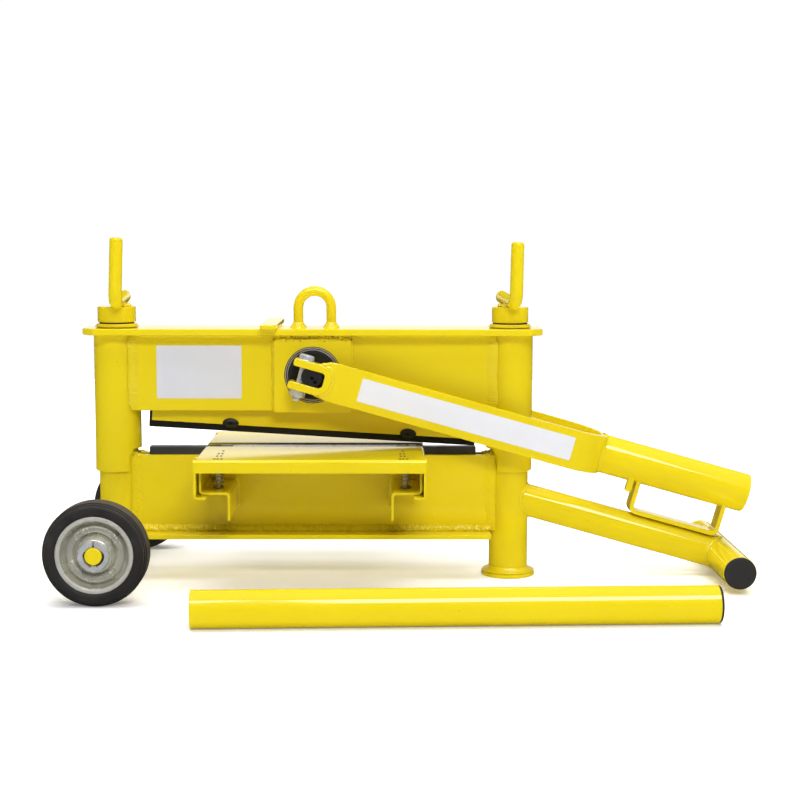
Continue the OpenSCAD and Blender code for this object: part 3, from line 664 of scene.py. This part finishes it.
pad = [(12.5, 312.4), (24.2, 312.4), (24.6, 313.0), (26.1, 313.1), (26.6, 313.5), (26.7, 314.4), (26.3, 314.9), (25.7, 315.0), (25.4, 315.3), (25.5, 315.7), (25.3, 316.4), (24.6, 317.0), (23.4, 317.2), (21.4, 317.3), (21.0, 317.8), (12.5, 317.8)]
for side, x in (("left", -245), ("right", 245)):
    make("thrust_rings_" + side, lathe(pad, n=96), YELLOW, UP, ["thrust_washers"], at(x, 0, 0))
    # Dark ring in the groove between the hub and the thrust rings: painted shade in the gap.
    make("thrust_gap_shade_" + side, lathe(ring_profile(12.5, 21.6, 317.1, 318.3, 0.1), n=96), OILED_BLACK_AND_GAP_SHADE, UP, ["thrust_washers"], at(x, 0, 0))

# ---------------------------------------------------------------- cranks
hub = [(12.2, 318.4), (20.6, 318.4), (21.0, 319.0), (22.7, 319.1), (23.3, 319.4), (23.4, 319.9), (23.4, 337.4), (23.0, 338.1), (22.3, 338.4), (0, 338.4), (0, 333.6), (12.2, 333.4)]
for side, x, off, turn, lean, top in (("left", -245, 4.5, 0, 1.9, 423.7), ("right", 245, -2.5, 10.4, 1.0, 419.2)):
    body = side + "_crank"
    make("hub_" + side, lathe([(r * (1 if x < 0 or r < 13 else 0.963), h) for r, h in hub], n=96), YELLOW, body, [body + "_hub"], at(x, 0, 0))
    # drawn from the axis of the leg, about which the grip leans
    path = [(0, 33, 3.0), (0, 10, 0.9), (0, -25, -2.3)] + [(0, -26 - 12 * math.sin(rad(a)), 9.6 - 12 * math.cos(rad(a))) for a in range(9, 90, 9)]
    h = top - 346.4
    path += [(0, -38, 9.6), (0, -38, 40), (0, -38, h - 3.2)]
    bend = at(x, 0, 0, turn) @ Matrix.Translation((off, 0, 346.4)) @ Matrix.Rotation(rad(lean), 4, "Y")
    p = [Vector(q) for q in path]
    line = [p[0], p[0] + Vector((0, -0.4, 0)), p[0] + Vector((0, -1.4, 0))] + p[1:]
    size = [6.4, 7.5, 8] + [8] * (len(p) - 1)
    for dz, r in ((-2.2, 7.75), (-1.2, 7.0), (-0.5, 5.9), (-0.12, 4.0), (0, 1.6)):
        line.append(Vector((0, -38, h + dz)))
        size.append(r)
    make("handle_" + side, sweep(line, size, 40), YELLOW, body, [body + "_rod"], bend, sharp=50)
    weld("weld_handle_" + side, body,
         bead([(off - 6.8, -16, 339.3), (off - 6.6, 2, 339.3), (off - 6.8, 19, 339.3)], (-0.7, 0, 1), 5.5, 2.6, 11, lump=0.5, grit=0.35),
         bead([(off + 6.8, 19, 339.3), (off + 6.6, 2, 339.3), (off + 6.8, -16, 339.3)], (0.7, 0, 1), 5.5, 2.6, 12, lump=0.5, grit=0.35),
         crumb((off + 9, -6, 339.2), 3.0, 13), crumb((off + 8.5, 7, 339.4), 4.2, 14), crumb((off + 3, 13, 340.2), 4.6, 16), crumb((off - 8.5, 6, 339.4), 3.6, 15), crumb((off - 3, 14, 340.0), 4.4, 17), frame_=at(x, 0, 0, turn))

# ---------------------------------------------------------------- lever
LEV = "lever"
rate = 12 / rad(121)


def cam_point(a, p, d):
    return (p * math.cos(rad(a)) - d * math.sin(rad(a)), p * math.sin(rad(a)) + d * math.cos(rad(a)))


steps = [-8 + 4.5 * i for i in range(31) if -8 + 4.5 * i <= 129]
cam = [cam_point(-90 - t, 24 - rate * rad(t), rate) for t in steps] + [cam_point(90 - t, 12 + rate * rad(t), -rate) for t in steps]
stub = [p for p in arc(0, 0, 13, 0, 360, 160)[:-1] if -11.4 <= p[1] <= 7.8]
stubs = []
tilt = Matrix.Rotation(rad(15.6), 4, "Y")
for s in (-1, 1):
    lo, hi = sorted((s * 33, s * 59))
    b = prism(sorted(stub, key=lambda p: math.atan2(p[1], p[0])), lo, hi)
    round_edges(b, 0.7, 2)
    notch = lathe([(0, -20), (5.4, -20), (5.4, 20), (0, 20)], "Z", 32)
    bmesh.ops.translate(notch, vec=(-12, s * 49, 0), verts=notch.verts)
    b = carve(b, notch)
    for x, z in ((0.7, -1.4), (5.5, -5.2)):
        pit = lathe([(0, -4), (2.2, -4), (2.2, 4), (0, 4)], "Y", 24)
        bmesh.ops.translate(pit, vec=(x, s * 59, z), verts=pit.verts)
        b = carve(b, pit)
    b.transform(tilt)
    stubs.append(b)
journal = [(0, -34), (28.6, -34), (30, -32.6), (30, -11.5), (0, -11.5)]
make("eccentric", joined(prism(cam, -11.5, 11.5), lathe(journal, "Y", 112), lathe([(r, -h) for r, h in journal], "Y", 112), *stubs),
     OILED_BLACK_AND_GAP_SHADE, LEV, ["cam_shaft"], at(0, 0, 255.5))
outer = [(21, 57)] + arc(324, 5, 52, 90, 0, 22) + arc(324, -5, 52, 0, -90, 22) + [(21, -57)]
inner = [(21, -49)] + arc(324, -5, 44, -90, 0, 22) + arc(324, 5, 44, 0, 90, 22) + [(21, 49)]
make("fork", prism(outer + inner, -24, 24, "XY"), YELLOW, LEV, ["lever_fork"], LEVER, edge=0.9)
tube = [(0, 369.5), (24.15, 369.5), (24.15, 563.8), (23.8, 564.6), (23.1, 565), (22.3, 565), (21.55, 564.2), (21.55, 384), (0, 384)]
make("socket", lathe(tube, "X", 112), YELLOW, LEV, ["lever_socket"], LEVER)
u_bar = fillet([(-26, 17.2), (5.5, 17.2)] + arc(5.5, -1.8, 19, 80, -80, 20) + [(5.5, -20.8), (-26, -20.8), (-26, -11.4)] + arc(10.3, -6.6, 4.8, -90, 0, 8) + arc(10.5, 3.2, 4.6, 0, 90, 8) + [(-26, 7.8)],
               [3.0] + [0] * 22 + [0, 3.0, 3.0] + [0] * 18 + [3.0], 5)
make("clamps", joined(prism(u_bar, -60, -38), prism(u_bar, 38, 60)), YELLOW, LEV, ["shaft_clamps"], LEVER, edge=1.2, seg=3)


def hex_ring(r, z, n=24, turn=0):
    pts = []
    for i in range(n):
        a = 360 * i / n
        k = math.cos(rad(30)) / math.cos(rad((a % 60) - 30))
        pts.append((r * k * math.cos(rad(a + turn)), r * k * math.sin(rad(a + turn)), z))
    return pts


def loft(rings):
    bm = bmesh.new()
    vs = [[bm.verts.new(p) for p in r] for r in rings]
    n = len(vs[0])
    for a, b in zip(vs, vs[1:]):
        for i in range(n):
            bm.faces.new((a[i], a[(i + 1) % n], b[(i + 1) % n], b[i]))
    bm.faces.new(vs[0])
    bm.faces.new(vs[-1])
    bmesh.ops.recalc_face_normals(bm, faces=bm.faces)
    return bm


def round_ring(r, z, n=24, turn=0):
    return [(r * math.cos(rad(360 * i / n + turn)), r * math.sin(rad(360 * i / n + turn)), z) for i in range(n)]


def hex_block(r, lo, hi, turn):
    return loft([round_ring(r * 0.83, lo, turn=turn), hex_ring(r, lo + 1.1, turn=turn), hex_ring(r, hi - 1.3, turn=turn), round_ring(r * 0.82, hi, turn=turn)])


thread = [(0, -34.6), (3.9, -34.6), (4.6, -33.8)]
z = -33.8
while z < -13:
    thread += [(5.0, z + 0.3), (4.35, z + 0.75)]
    z += 1.0
thread += [(5, -12), (5, 17.2), (0, 17.2)]
bolts, nuts = [], []
for s in (-1, 1):
    parts = [lathe(thread, "Z", 32), hex_block(9.8, 17.2, 23.6, 20), lathe([(0, 17.1), (10.0, 17.1), (10.2, 17.4), (10.0, 17.8), (0, 17.8)], "Z", 40)]
    for p in parts:
        bmesh.ops.translate(p, vec=(-12, s * 49, 0), verts=p.verts)
    bolts += parts
    p = hex_block(9.8, -28.8, -20.8, 12)
    bmesh.ops.translate(p, vec=(-12, s * 49, 0), verts=p.verts)
    nuts.append(p)
make("bolts", joined(*bolts), ZINC, LEV, ["clamp_bolts"], LEVER, sharp=24)
make("nuts", joined(*nuts), ZINC, LEV, ["clamp_nuts"], LEVER, sharp=24)

low = -62.13
strap = prism(ribbon([(429.25, -8), (429.25, low + 2.75), (541.25, low + 2.75), (541.25, -8)], 5.5, 4.5), -14, 14)
round_edges(strap, 0.8, 2)
make("hand_loop", carve(strap, lathe([(0, 400), (23.2, 400), (23.2, 600), (0, 600)], "X", 96)), YELLOW, LEV, ["lever_loop"], LEVER)
lug = prism(fillet(rect(415, -36.5, 423, -12), [2, 2, 0, 0], 3), -15, -7)
round_edges(lug, 0.6, 2)
make("lug", carve(lug, lathe([(0, 400), (23.2, 400), (23.2, 600), (0, 600)], "X", 96)), YELLOW, LEV, ["socket_lug"], LEVER)
make("lever_label", prism(fillet(rect(60.3, -13.9, 330.7, 15.1), 1.2, 3), -57.22, -56.9), LABEL, LEV, (), LEVER)
make("beam_label", prism(fillet(rect(-193, 225.5, -88.2, 291.2), 1.5, 3), -24.22, -23.9), STICKER, UP)

# ---------------------------------------------------------------- yoke, carrier, upper blade
BEAM = "upper_blade_beam"
bar = [(-195.8, -23.1), (208.3, -23.1), (208.3, 38), (58, 38), (58, 10), (-48, 10), (-48, 38), (-195.4, 38)]
make("carrier", prism(bar, -11, 11), YELLOW, BEAM, ["blade_carrier"], CARRIER, edge=0.9)
# The upper blade takes the darker copy of the black paint: painted shade.
make("blade_upper", prism([(-9, -29.6), (-7.1, -31.5), (7.1, -31.5), (9, -29.6), (9, -8), (-9, -8)], -199.0, 208.3, "YZ"), SHADED_BLADE_PAINT, BEAM, ["upper_blade"], CARRIER, edge=0.4)
heads = []
for x in (-97.4, 124.4):
    for s in (-1, 1):
        dome = [(0, 11), (9.1, 11), (9.5, 11.4), (9.5, 12.0)] + [(9.5 * math.cos(rad(a)), 12.0 + 3.2 * math.sin(rad(a))) for a in (12, 24, 36, 48, 60, 75)] + [(0, 15.2)]
        b = lathe([(r, s * h) for r, h in dome], "Y", 48)
        key = prism([(3.6 * math.cos(rad(60 * i)), 3.6 * math.sin(rad(60 * i))) for i in range(6)], *sorted((s * 12.4, s * 16)))
        b = carve(b, key)
        bmesh.ops.scale(b, vec=(1.06, 1, 0.66), verts=b.verts)
        bmesh.ops.translate(b, vec=(x, 0, -21.0), verts=b.verts)
        heads.append(b)
make("blade_bolts", joined(*heads), OILED_BLACK_AND_GAP_SHADE, BEAM, ["blade_screws"], CARRIER, sharp=40)


# ---------------------------------------------------------------- tables
def tray(s):
    top = prism(ribbon([(-121.6, 118.9), (-134.5, 118.9), (-134.5, 163.3), (136.3, 163.3), (136.3, 118.9), (123.4, 118.9)], 3, 1.6), *sorted((s * 131.5, s * 18)))
    front = prism([(s * y, z) for y, z in ribbon([(135.9, 149.3), (135.9, 163.3), (112, 163.3)], 3, 0.8)], -136, 137.8, "YZ")
    bm = carve(top, front, "UNION")
    for x, m in ((-134.5, -1), (136.3, 1)):
        ear = prism(ribbon([(x - m * 12.9, 118.9), (x, 118.9), (x, 158)], 3, 1.6), *sorted((s * 136.6, s * 128)))
        bm = carve(bm, ear, "UNION")
    return bm


for side, s in (("front", -1), ("rear", 1)):
    make("tray_" + side, tray(s), YELLOW, side + "_table_body", [side + "_table"], sharp=28)
# rows of small punched marks over the front springs, drawn as flat dark patches: painted shade of the dents
dent_shade_patches = []
for x, first in zip(SPRINGS, (0.0, -7.2)):
    for v, line in ((-126, (0.1, 3.9, 8.4)), (-102, (1.0, 5.7)), (-82, (0.7, 5.2)), (-58, (4.0,))):
        for u in line:
            u += x + first
            dent_shade_patches.append(prism(fillet(rect(u - 1.3, v - 4.0, u + 1.3, v + 4.0), 0.8, 3), 164.55, 164.83, "XY"))
make("punched_mark_shade_front", joined(*dent_shade_patches), SHADE_PAINT, "front_table_body", sharp=40)


# ---------------------------------------------------------------- wheels
def rim_bump(r, h, a):
    """Four pressed tabs across the ridge of the rim, each between two dents."""
    if not 21 < r < 38 or abs(h) < 5:
        return 0
    d = min(abs((math.degrees(a) - c + 180) % 360 - 180) for c in (33, 117, 209, 304)) * rad(1) * r
    across = ease((5.4 - abs(r - 29.3)) / 1.9)
    dot = math.hypot(r * math.cos(a) - 32.6 * math.cos(rad(239)), r * math.sin(a) - 32.6 * math.sin(rad(239)))
    return math.copysign(across * (2.5 * ease((4.0 - d) / 1.0) - 0.8 * ease(1 - abs(d - 5.3) / 1.5)) + 1.0 * ease((2.2 - dot) / 1.2), h)


half_dish = [(40.4, 0), (40.4, 15.8), (39.6, 15.4), (39.3, 13.5), (39.0, 10.4), (38.6, 7.6), (37.9, 5.2), (36.8, 3.8), (35.7, 3.3), (34.7, 3.9), (34.0, 5.5),
             (33.4, 7.6), (32.7, 9.0), (31.6, 9.5), (30.3, 9.6), (29.0, 9.6), (27.9, 9.55), (26.8, 9.3), (26.0, 8.4), (25.4, 6.8), (24.7, 5.4), (23.8, 4.9), (23.0, 6.0), (22.2, 8.6),
             (21.2, 12.2), (20.2, 14.8), (19.2, 16.6), (18.2, 17.7), (16.8, 18.2), (12, 18.3)]
dish_line = half_dish + [(r, -h) for r, h in half_dish[::-1][:-1]]
half_lip = [(45.2, 0), (45.2, 16.0), (44.9, 16.8), (44.2, 17.2), (43.0, 17.3), (41.4, 17.2), (40.5, 16.8), (40.0, 16.0), (39.9, 15.0), (40.2, 14.4), (40.2, 0)]
lip_line = half_lip + [(r, -h) for r, h in half_lip[::-1][1:-1]]
half_tyre = [(44.9, 15.4), (45.4, 16.6), (46.4, 17.5), (48.0, 18.2), (50.5, 18.5), (54.2, 18.5), (55.4, 18.2), (56.3, 17.6), (56.8, 16.9), (56.9, 14.9), (57.9, 14.7), (58.6, 14.2), (58.9, 13.6),
             (58.9, 12.0), (59.6, 11.8), (60.2, 11.4), (60.5, 10.9), (60.5, 0)]
tyre_line = half_tyre + [(r, -h) for r, h in half_tyre[::-1][1:]]
half_band = [(60.3, 10.7), (60.7, 10.7), (60.95, 10.3), (60.95, 4.4), (60.55, 4.1), (60.55, 3.4), (60.95, 3.1), (60.95, 0)]
band_line = half_band + [(r, -h) for r, h in half_band[::-1][1:]]
# Thin ledges on the tyre shoulder in the lighter dusty rubber: their light lines are a painted highlight of the ridges.
highlight_ledges = [[(56.7, 15.1), (57.0, 15.1), (57.1, 15.3), (57.1, 16.4), (57.0, 16.6), (56.7, 16.6)], [(58.7, 12.2), (59.0, 12.2), (59.1, 12.4), (59.1, 13.1), (59.0, 13.3), (58.7, 13.3)]]
for side, s in (("front", -1), ("rear", 1)):
    c = at(-245, s * 167.5, AXLE)
    make("rim_" + side, lathe(dish_line, "Y", 240, rim_bump), RIM, side + "_wheel", [side + "_rim"], c, sharp=50)
    make("rim_lip_" + side, lathe(lip_line, "Y", 160), LIP, side + "_wheel", [side + "_rim"], c, sharp=50)
    make("tyre_" + side, lathe(tyre_line, "Y", 160), TYRE, side + "_wheel", [side + "_tyre"], c, sharp=38)
    ribs = [lathe([(r, m * h) for r, h in line], "Y", 160) for line in highlight_ledges for m in (-1, 1)]
    make("tyre_rib_highlight_" + side, joined(*ribs), DUSTY_TREAD_AND_RIB_HIGHLIGHT, side + "_wheel", [side + "_tyre"], c, sharp=80)
    make("tread_" + side, lathe(band_line, "Y", 160), DUSTY_TREAD_AND_RIB_HIGHLIGHT, side + "_wheel", [side + "_tyre"], c, sharp=38)

# ---------------------------------------------------------------- loose tube
make("long_tube", lathe(ring_profile(18, 21.2, -293, 290), "X", 112), YELLOW, "extension", ["extension_tube"], EXT)
stop = [(0, 274), (17.2, 274), (18, 275), (18, 290), (20.4, 290), (20.8, 290.5), (20.8, 291.6), (20.0, 292.6), (17, 293), (0, 293)]
make("tube_stop", lathe(stop, "X", 72), PLUG, "extension", ["extension_plug"], EXT)

# ---------------------------------------------------------------- welds
for side, s in (("front", -1), ("rear", 1)):
    o = Vector((0, s, 0))
    flat = dict(pitch=3.8, ripple=0.42, lump=0.18, grit=0.24)
    rough = dict(pitch=5.0, ripple=0.45, lump=0.8, grit=0.95)
    weld("weld_web_" + side, UP, *[bead([(m * 221.5, s * 23.7, 303.6), (m * 220.8, s * 23.7, 258), (m * 221.5, s * 23.7, 211.5)], o + Vector((-m * 0.12, 0, 0)), 14.5, 1.7, 20 + m + s * 5, **flat)
                                   for m in (-1, 1)])
    weld("weld_plate_" + side, UP, bead([(-214, s * 24.4, 303.2), (-60, s * 24.4, 303.0)], (0, s, -1), 6, 2.0, 31 + s, lump=0.5, grit=0.25),
         bead([(52, s * 24.4, 303.0), (214, s * 24.4, 303.2)], (0, s, -1), 6, 2.0, 35 + s, lump=0.5, grit=0.25))
    weld("weld_boss_top_" + side, UP,
         bead([(-47, s * 27.6, 301.6), (-20, s * 27.2, 301.2), (20, s * 27.6, 301.0), (47, s * 27.2, 301.6)], (0, s, -0.5), 8.5, 3.6, 33 + s, **rough),
         bead([(-46, s * 31.0, 299.0), (-10, s * 31.4, 298.8), (46, s * 31.0, 299.2)], (0, s, 0.6), 5, 1.8, 34 + s, **rough), mat=SEAM)
    weld("weld_boss_" + side, UP, bead([(-49, s * 24.8, 211), (-49.4, s * 24.8, 255), (-49, s * 24.8, 300)], (-1, s, 0), 6.4, 1.7, 37 + s, pitch=5.5, ripple=0.2, lump=0.6, grit=0.38),
         bead([(48.0, s * 24.4, 212), (48.0, s * 24.4, 300)], (1, s, 0), 4.2, 2.6, 39 + s, lump=0.25, grit=0.15))
    weld("weld_column_" + side, LOW, *[bead([(m * 220.5, s * 16.9, 153.0), (m * 219.6, s * 16.9, 110), (m * 220.5, s * 16.9, 61)], o + Vector((-m * 0.15, 0, 0)), 14, 1.3, 41 + m + s * 3, pitch=2.4, ripple=0.18, lump=0.2, grit=0.50, n=28, step=0.55)
                                       for m in (-1, 1)], mat=SPATTER)
    weld("weld_base_" + side, LOW, bead([(-222, s * 18.2, 62.4), (222, s * 18.2, 62.4)], (0, s, 0.8), 10, 2.4, 47 + s, pitch=3.2, ripple=0.35, lump=0.4, grit=1.35, n=24, step=0.55), mat=SPATTER)
    weld("weld_axle_" + side, LOW, bead(circle3((-245, s * 23.4, AXLE), (1, 0, 0), (0, 0, 1), 11.2), (0, s, 0), 4.6, 2.0, 51 + s, closed=True))
    # crumbs where the lower webs meet the columns under the blade ends
    weld("weld_crumbs_" + side, LOW, *[c for m in (-1, 1) for c in (crumb((m * 218, s * 14.5, 153.6), 3.6, 3 + m), crumb((m * 213.5, s * 13.5, 153.4), 2.6, 5 + m), crumb((m * 222, s * 11.5, 154.6), 3.2, 8 + m))])
    # rails welded into the lower webs
    for k, m in (("left", -1), ("right", 1)):
        x = m * 94.2 + RAIL_X[k]
        weld("weld_rail_%s_%s" % (k, side), LOW,
             bead([(x, s * 17.2, 90), (x, s * 17.2, 117), (x + m * 3, s * 17.2, 124.6), (x + m * 20, s * 17.2, 125.0), (x + m * 32, s * 17.2, 125.4)], (0, s, 0.2), 5.5, 1.6, 91 + m + s, lump=0.4, grit=0.25),
             bead([(x + m * 4.6, s * 17.2, 90), (x + m * 4.6, s * 17.2, 119), (x + m * 36, s * 17.2, 119.4)], (0, s, -0.2), 4.5, 1.4, 95 + m + s, lump=0.4, grit=0.25))
cone = [(5.0, 311.8), (10.6, 312.0), (10.3, 312.9), (8.9, 314.6), (7.5, 316.6), (6.6, 318.6), (5.8, 319.4), (5.0, 319.4)]
weld("weld_eye_left", UP, flare(cone, 3, 0.25, 64, 9), frame_=at(-19, 0, 0))
weld("weld_eye_right", UP, flare(cone, 6, 0.25, 64, 9), frame_=at(22, 0, 0))
weld("weld_stop", UP, *[bead([(x, -39, 312.7), (x, 39, 312.7)], (1 if x > -50 else -1, 0, 1), 3.6, 1.4, 61 + x, lump=0.4, grit=0.25) for x in (-63.2, -42.8)],
     bead([(-62, -41.4, 311.6), (-44, -41.4, 311.6)], (0, -1, 0), 5, 1.2, 63, lump=0.5, grit=0.3))
ring = [(23.6, 6.4), (29.0, 6.6), (28.8, 7.3), (27.4, 8.0), (26.2, 9.0), (25.2, 10.4), (24.4, 11.8), (23.6, 12.0)]
weld("weld_foot", LOW, flare(ring, 9, 0.16, 144, 34), frame_=at(245, 0, 0))


def branch(r_branch, r_main, n=96):
    """Line where the tail tube meets the right column, in the tail's frame."""
    pts = []
    c = -278.56
    for i in range(n + 1):
        a = 2 * math.pi * i / n
        y, zz = r_branch * math.cos(a), r_branch * math.sin(a)
        # column axis leans by 15.6 degrees in this frame
        k, w = math.cos(rad(15.6)), math.sin(rad(15.6))
        # point (x, y, zz): distance from the axis through (c, 0, 0) along (-w, 0, k)... solve for x
        dx = math.sqrt(max(0, r_main ** 2 - y * y))
        x = (dx + zz * -w) / k + c
        pts.append((x, y, zz))
    return pts


weld("weld_tail", LOW, bead(branch(20.2, 24.4), lambda p: Vector((0.8, p.y / 20, p.z / 20)), 4.4, 1.5, 71, closed=True, lump=0.3), frame_=TAIL)
saddle = []
for i in range(97):
    a = 2 * math.pi * i / 96
    y, zz = 20.4 * math.cos(a), 20.4 * math.sin(a)
    saddle.append((-math.sqrt(max(0, 20.6 ** 2 - zz * zz)) - 0.3, y, zz))
weld("weld_bar", LOW, bead(saddle, lambda p: Vector((-0.7, p.y / 20, p.z / 20)), 3.6, 1.1, 73, closed=True), frame_=TAIL)
joint_line = []
for i in range(97):
    a = 2 * math.pi * i / 96
    y, zz = 24.2 * math.cos(a), 24.2 * math.sin(a)
    joint_line.append((324.3 + math.sqrt(52 ** 2 - max(0, abs(y) - 5) ** 2), y, zz))
weld("weld_socket", LEV, bead(joint_line, lambda p: Vector((0.35, p.y / 24, p.z / 24)), 9.0, 1.0, 75, closed=True, ripple=0.08, lump=0.25, grit=0.10), frame_=LEVER)
for s in (-1, 1):
    # fillets that carry the straight corners of the arm over to the round end of the clamp
    upper = prism([(3, 15.6), (3.5, 17.4), (9, 18.2), (15, 20.6), (21.8, 23.7), (27, 23.6), (27, 6), (18, 10), (12, 14.5)], *sorted((s * 57.3, s * 49.4)))
    lower = prism([(3, -19.2), (3.5, -20.9), (9, -21.2), (15, -22.4), (21.8, -23.7), (27, -23.6), (27, -8), (18, -14), (12, -18)], *sorted((s * 57.3, s * 49.4)))
    for b in (upper, lower):
        round_edges(b, 0.8, 2)
    seam = [(5.5 + 20.2 * math.cos(rad(a)), s * 57.2, -1.8 + 20.2 * math.sin(rad(a))) for a in range(68, -69, -4)]
    weld("weld_clamp_" + ("front" if s < 0 else "rear"), LEV, upper, lower,
         bead(seam, (0.1, s, 0), 7.5, 1.9, 77 + s, pitch=4.5, ripple=0.25, lump=0.4, grit=0.25),
         bead([(7, s * 55.4, 18.0), (15, s * 55.4, 20.6), (21, s * 55.4, 23.0)], (0, s * 0.3, 1), 5, 1.5, 79 + s, lump=0.5, grit=0.3),
         bead([(7, s * 55.4, -21.0), (21, s * 55.4, -23.0)], (0, s * 0.3, -1), 4, 1.0, 81 + s, lump=0.5, grit=0.3), frame_=LEVER)
weld("weld_loop", LEV, *[bead([(x, -13, -20.6), (x, 0, -24.4), (x, 13, -20.6)], (1 if x > 480 else -1, 0, -1), 3.8, 1.3, 83 + x) for x in (426.0, 544.4)],
     *[bead([(x, -13, -20.6), (x, 0, -24.4), (x, 13, -20.6)], (-1 if x > 480 else 1, 0, -1), 3.4, 1.2, 84 + x) for x in (432.6, 537.8)], frame_=LEVER)

# ---------------------------------------------------------------- carried-over pieces
for node in ("spindle_nuts", "left_spindle", "right_spindle", "cam_yoke", "rocking_pin"):
    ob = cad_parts[node]
    ob.data.materials.clear()
    ob.data.materials.append(STEEL)
for node, mat in (("yoke_guides", YELLOW), ("front_wheel_bush", PLUG), ("rear_wheel_bush", PLUG)):
    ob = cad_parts[node]
    ob.data.materials.clear()
    ob.data.materials.append(mat)

# ---------------------------------------------------------------- stage, light, camera
fm, nt, b, co = material("pale_floor")
nt.links.new(ramp(nt, noise_node(nt, co, 3, 3), [(0.3, (0.915, 0.915, 0.91)), (0.7, (0.93, 0.93, 0.925))]), b.inputs["Base Color"])
b.inputs["Roughness"].default_value = 0.8
b.inputs["Specular IOR Level"].default_value = 0.1
b.inputs["Emission Color"].default_value = (1, 1, 1, 1)
far = nt.nodes.new("ShaderNodeVectorMath")
far.operation = "LENGTH"
nt.links.new(co, far.inputs[0])
nt.links.new(span(nt, far.outputs["Value"], 0.17, 1.0, 1.0, 2.6), b.inputs["Emission Strength"])
bm = bmesh.new()
bm.faces.new([bm.verts.new(v) for v in ((-5, -4.5, 0), (5, -4.5, 0), (5, 2.6, 0), (-5, 2.6, 0))])
me = bpy.data.meshes.new("floor")
bm.to_mesh(me)
bm.free()
me.materials.append(fm)
floor = bpy.data.objects.new("floor", me)
scene.collection.objects.link(floor)
floor.visible_glossy = False

# white studio: bright behind the object, softer overhead, dim to the sides
world = bpy.data.worlds.new("studio")
scene.world = world
world.use_nodes = True
wt = world.node_tree
bg = next(n for n in wt.nodes if n.type == "BACKGROUND")
bg.inputs["Color"].default_value = (1, 1, 1, 1)
direction = wt.nodes.new("ShaderNodeTexCoord").outputs["Generated"]
parts = wt.nodes.new("ShaderNodeSeparateXYZ")
wt.links.new(direction, parts.inputs["Vector"])


def most(a, b):
    m = wt.nodes.new("ShaderNodeMath")
    m.operation = "MAXIMUM"
    wt.links.new(a, m.inputs[0])
    wt.links.new(b, m.inputs[1])
    return m.outputs["Value"]


def times(a, b):
    m = wt.nodes.new("ShaderNodeMath")
    m.operation = "MULTIPLY"
    wt.links.new(a, m.inputs[0])
    wt.links.new(b, m.inputs[1])
    return m.outputs["Value"]


low_band = times(span(wt, parts.outputs["Z"], 0.0, 1.0, -0.03, 0.03), span(wt, parts.outputs["Z"], 1.0, 0.0, 0.15, 0.24))
back = times(low_band, span(wt, parts.outputs["Y"], 0.0, 0.95, 0.50, 0.80))
over = span(wt, parts.outputs["Z"], 0.035, 0.30, 0.35, 0.85)
seen = span(wt, wt.nodes.new("ShaderNodeLightPath").outputs["Is Camera Ray"], 0.0, 1.03, 0.0, 1.0)
wt.links.new(most(most(back, over), seen), bg.inputs["Strength"])


def lamp(name, pos, aim, w, h, watts, colour=(1, 1, 1)):
    d = bpy.data.lights.new(name, "AREA")
    d.shape, d.size, d.size_y, d.energy, d.color = "RECTANGLE", w, h, watts, colour
    o = bpy.data.objects.new(name, d)
    o.location = pos
    o.rotation_euler = (Vector(aim) - Vector(pos)).to_track_quat("-Z", "Y").to_euler()
    scene.collection.objects.link(o)
    o.visible_camera = False
    return o


key = lamp("key", (0.66, -2.05, 2.5), (0.1, -0.1, 0.1), 1.78, 1.15, 46)
side = lamp("side", (-0.90, -2.05, 2.5), (-0.3, -0.1, 0.1), 0.86, 1.15, 21)
fill = lamp("fill", (0.75, -4.5, 3.7), (-0.1, 0, 0.2), 2.8, 1.1, 166)
sky = lamp("sky", (0, -0.4, 2.5), (0, -0.1, 0), 2.6, 1.4, 50)
for o in (key, side):
    o.visible_diffuse = False
rear = lamp("rear", (0, 1.7, 2.6), (0, 1.5, 0), 4.4, 1.6, 76)
for o in (fill, sky, rear):
    o.visible_glossy = False

cam_data = bpy.data.cameras.new("camera")
cam_data.sensor_width, cam_data.lens = 36.0, 71.397
camera = bpy.data.objects.new("camera", cam_data)
yaw, pit, rol = rad(-0.58), rad(6.16), rad(0.13)
fwd = Vector((-math.sin(yaw) * math.cos(pit), math.cos(yaw) * math.cos(pit), -math.sin(pit)))
right = Vector((math.cos(yaw), math.sin(yaw), 0))
up = right.cross(fwd)
r_ = math.cos(rol) * right + math.sin(rol) * up
u_ = -math.sin(rol) * right + math.cos(rol) * up
camera.matrix_world = Matrix(((r_.x, u_.x, -fwd.x, -0.15717), (r_.y, u_.y, -fwd.y, -1.97845), (r_.z, u_.z, -fwd.z, 0.43483), (0, 0, 0, 1)))
scene.collection.objects.link(camera)
scene.camera = camera
scene.view_settings.view_transform = "Standard"
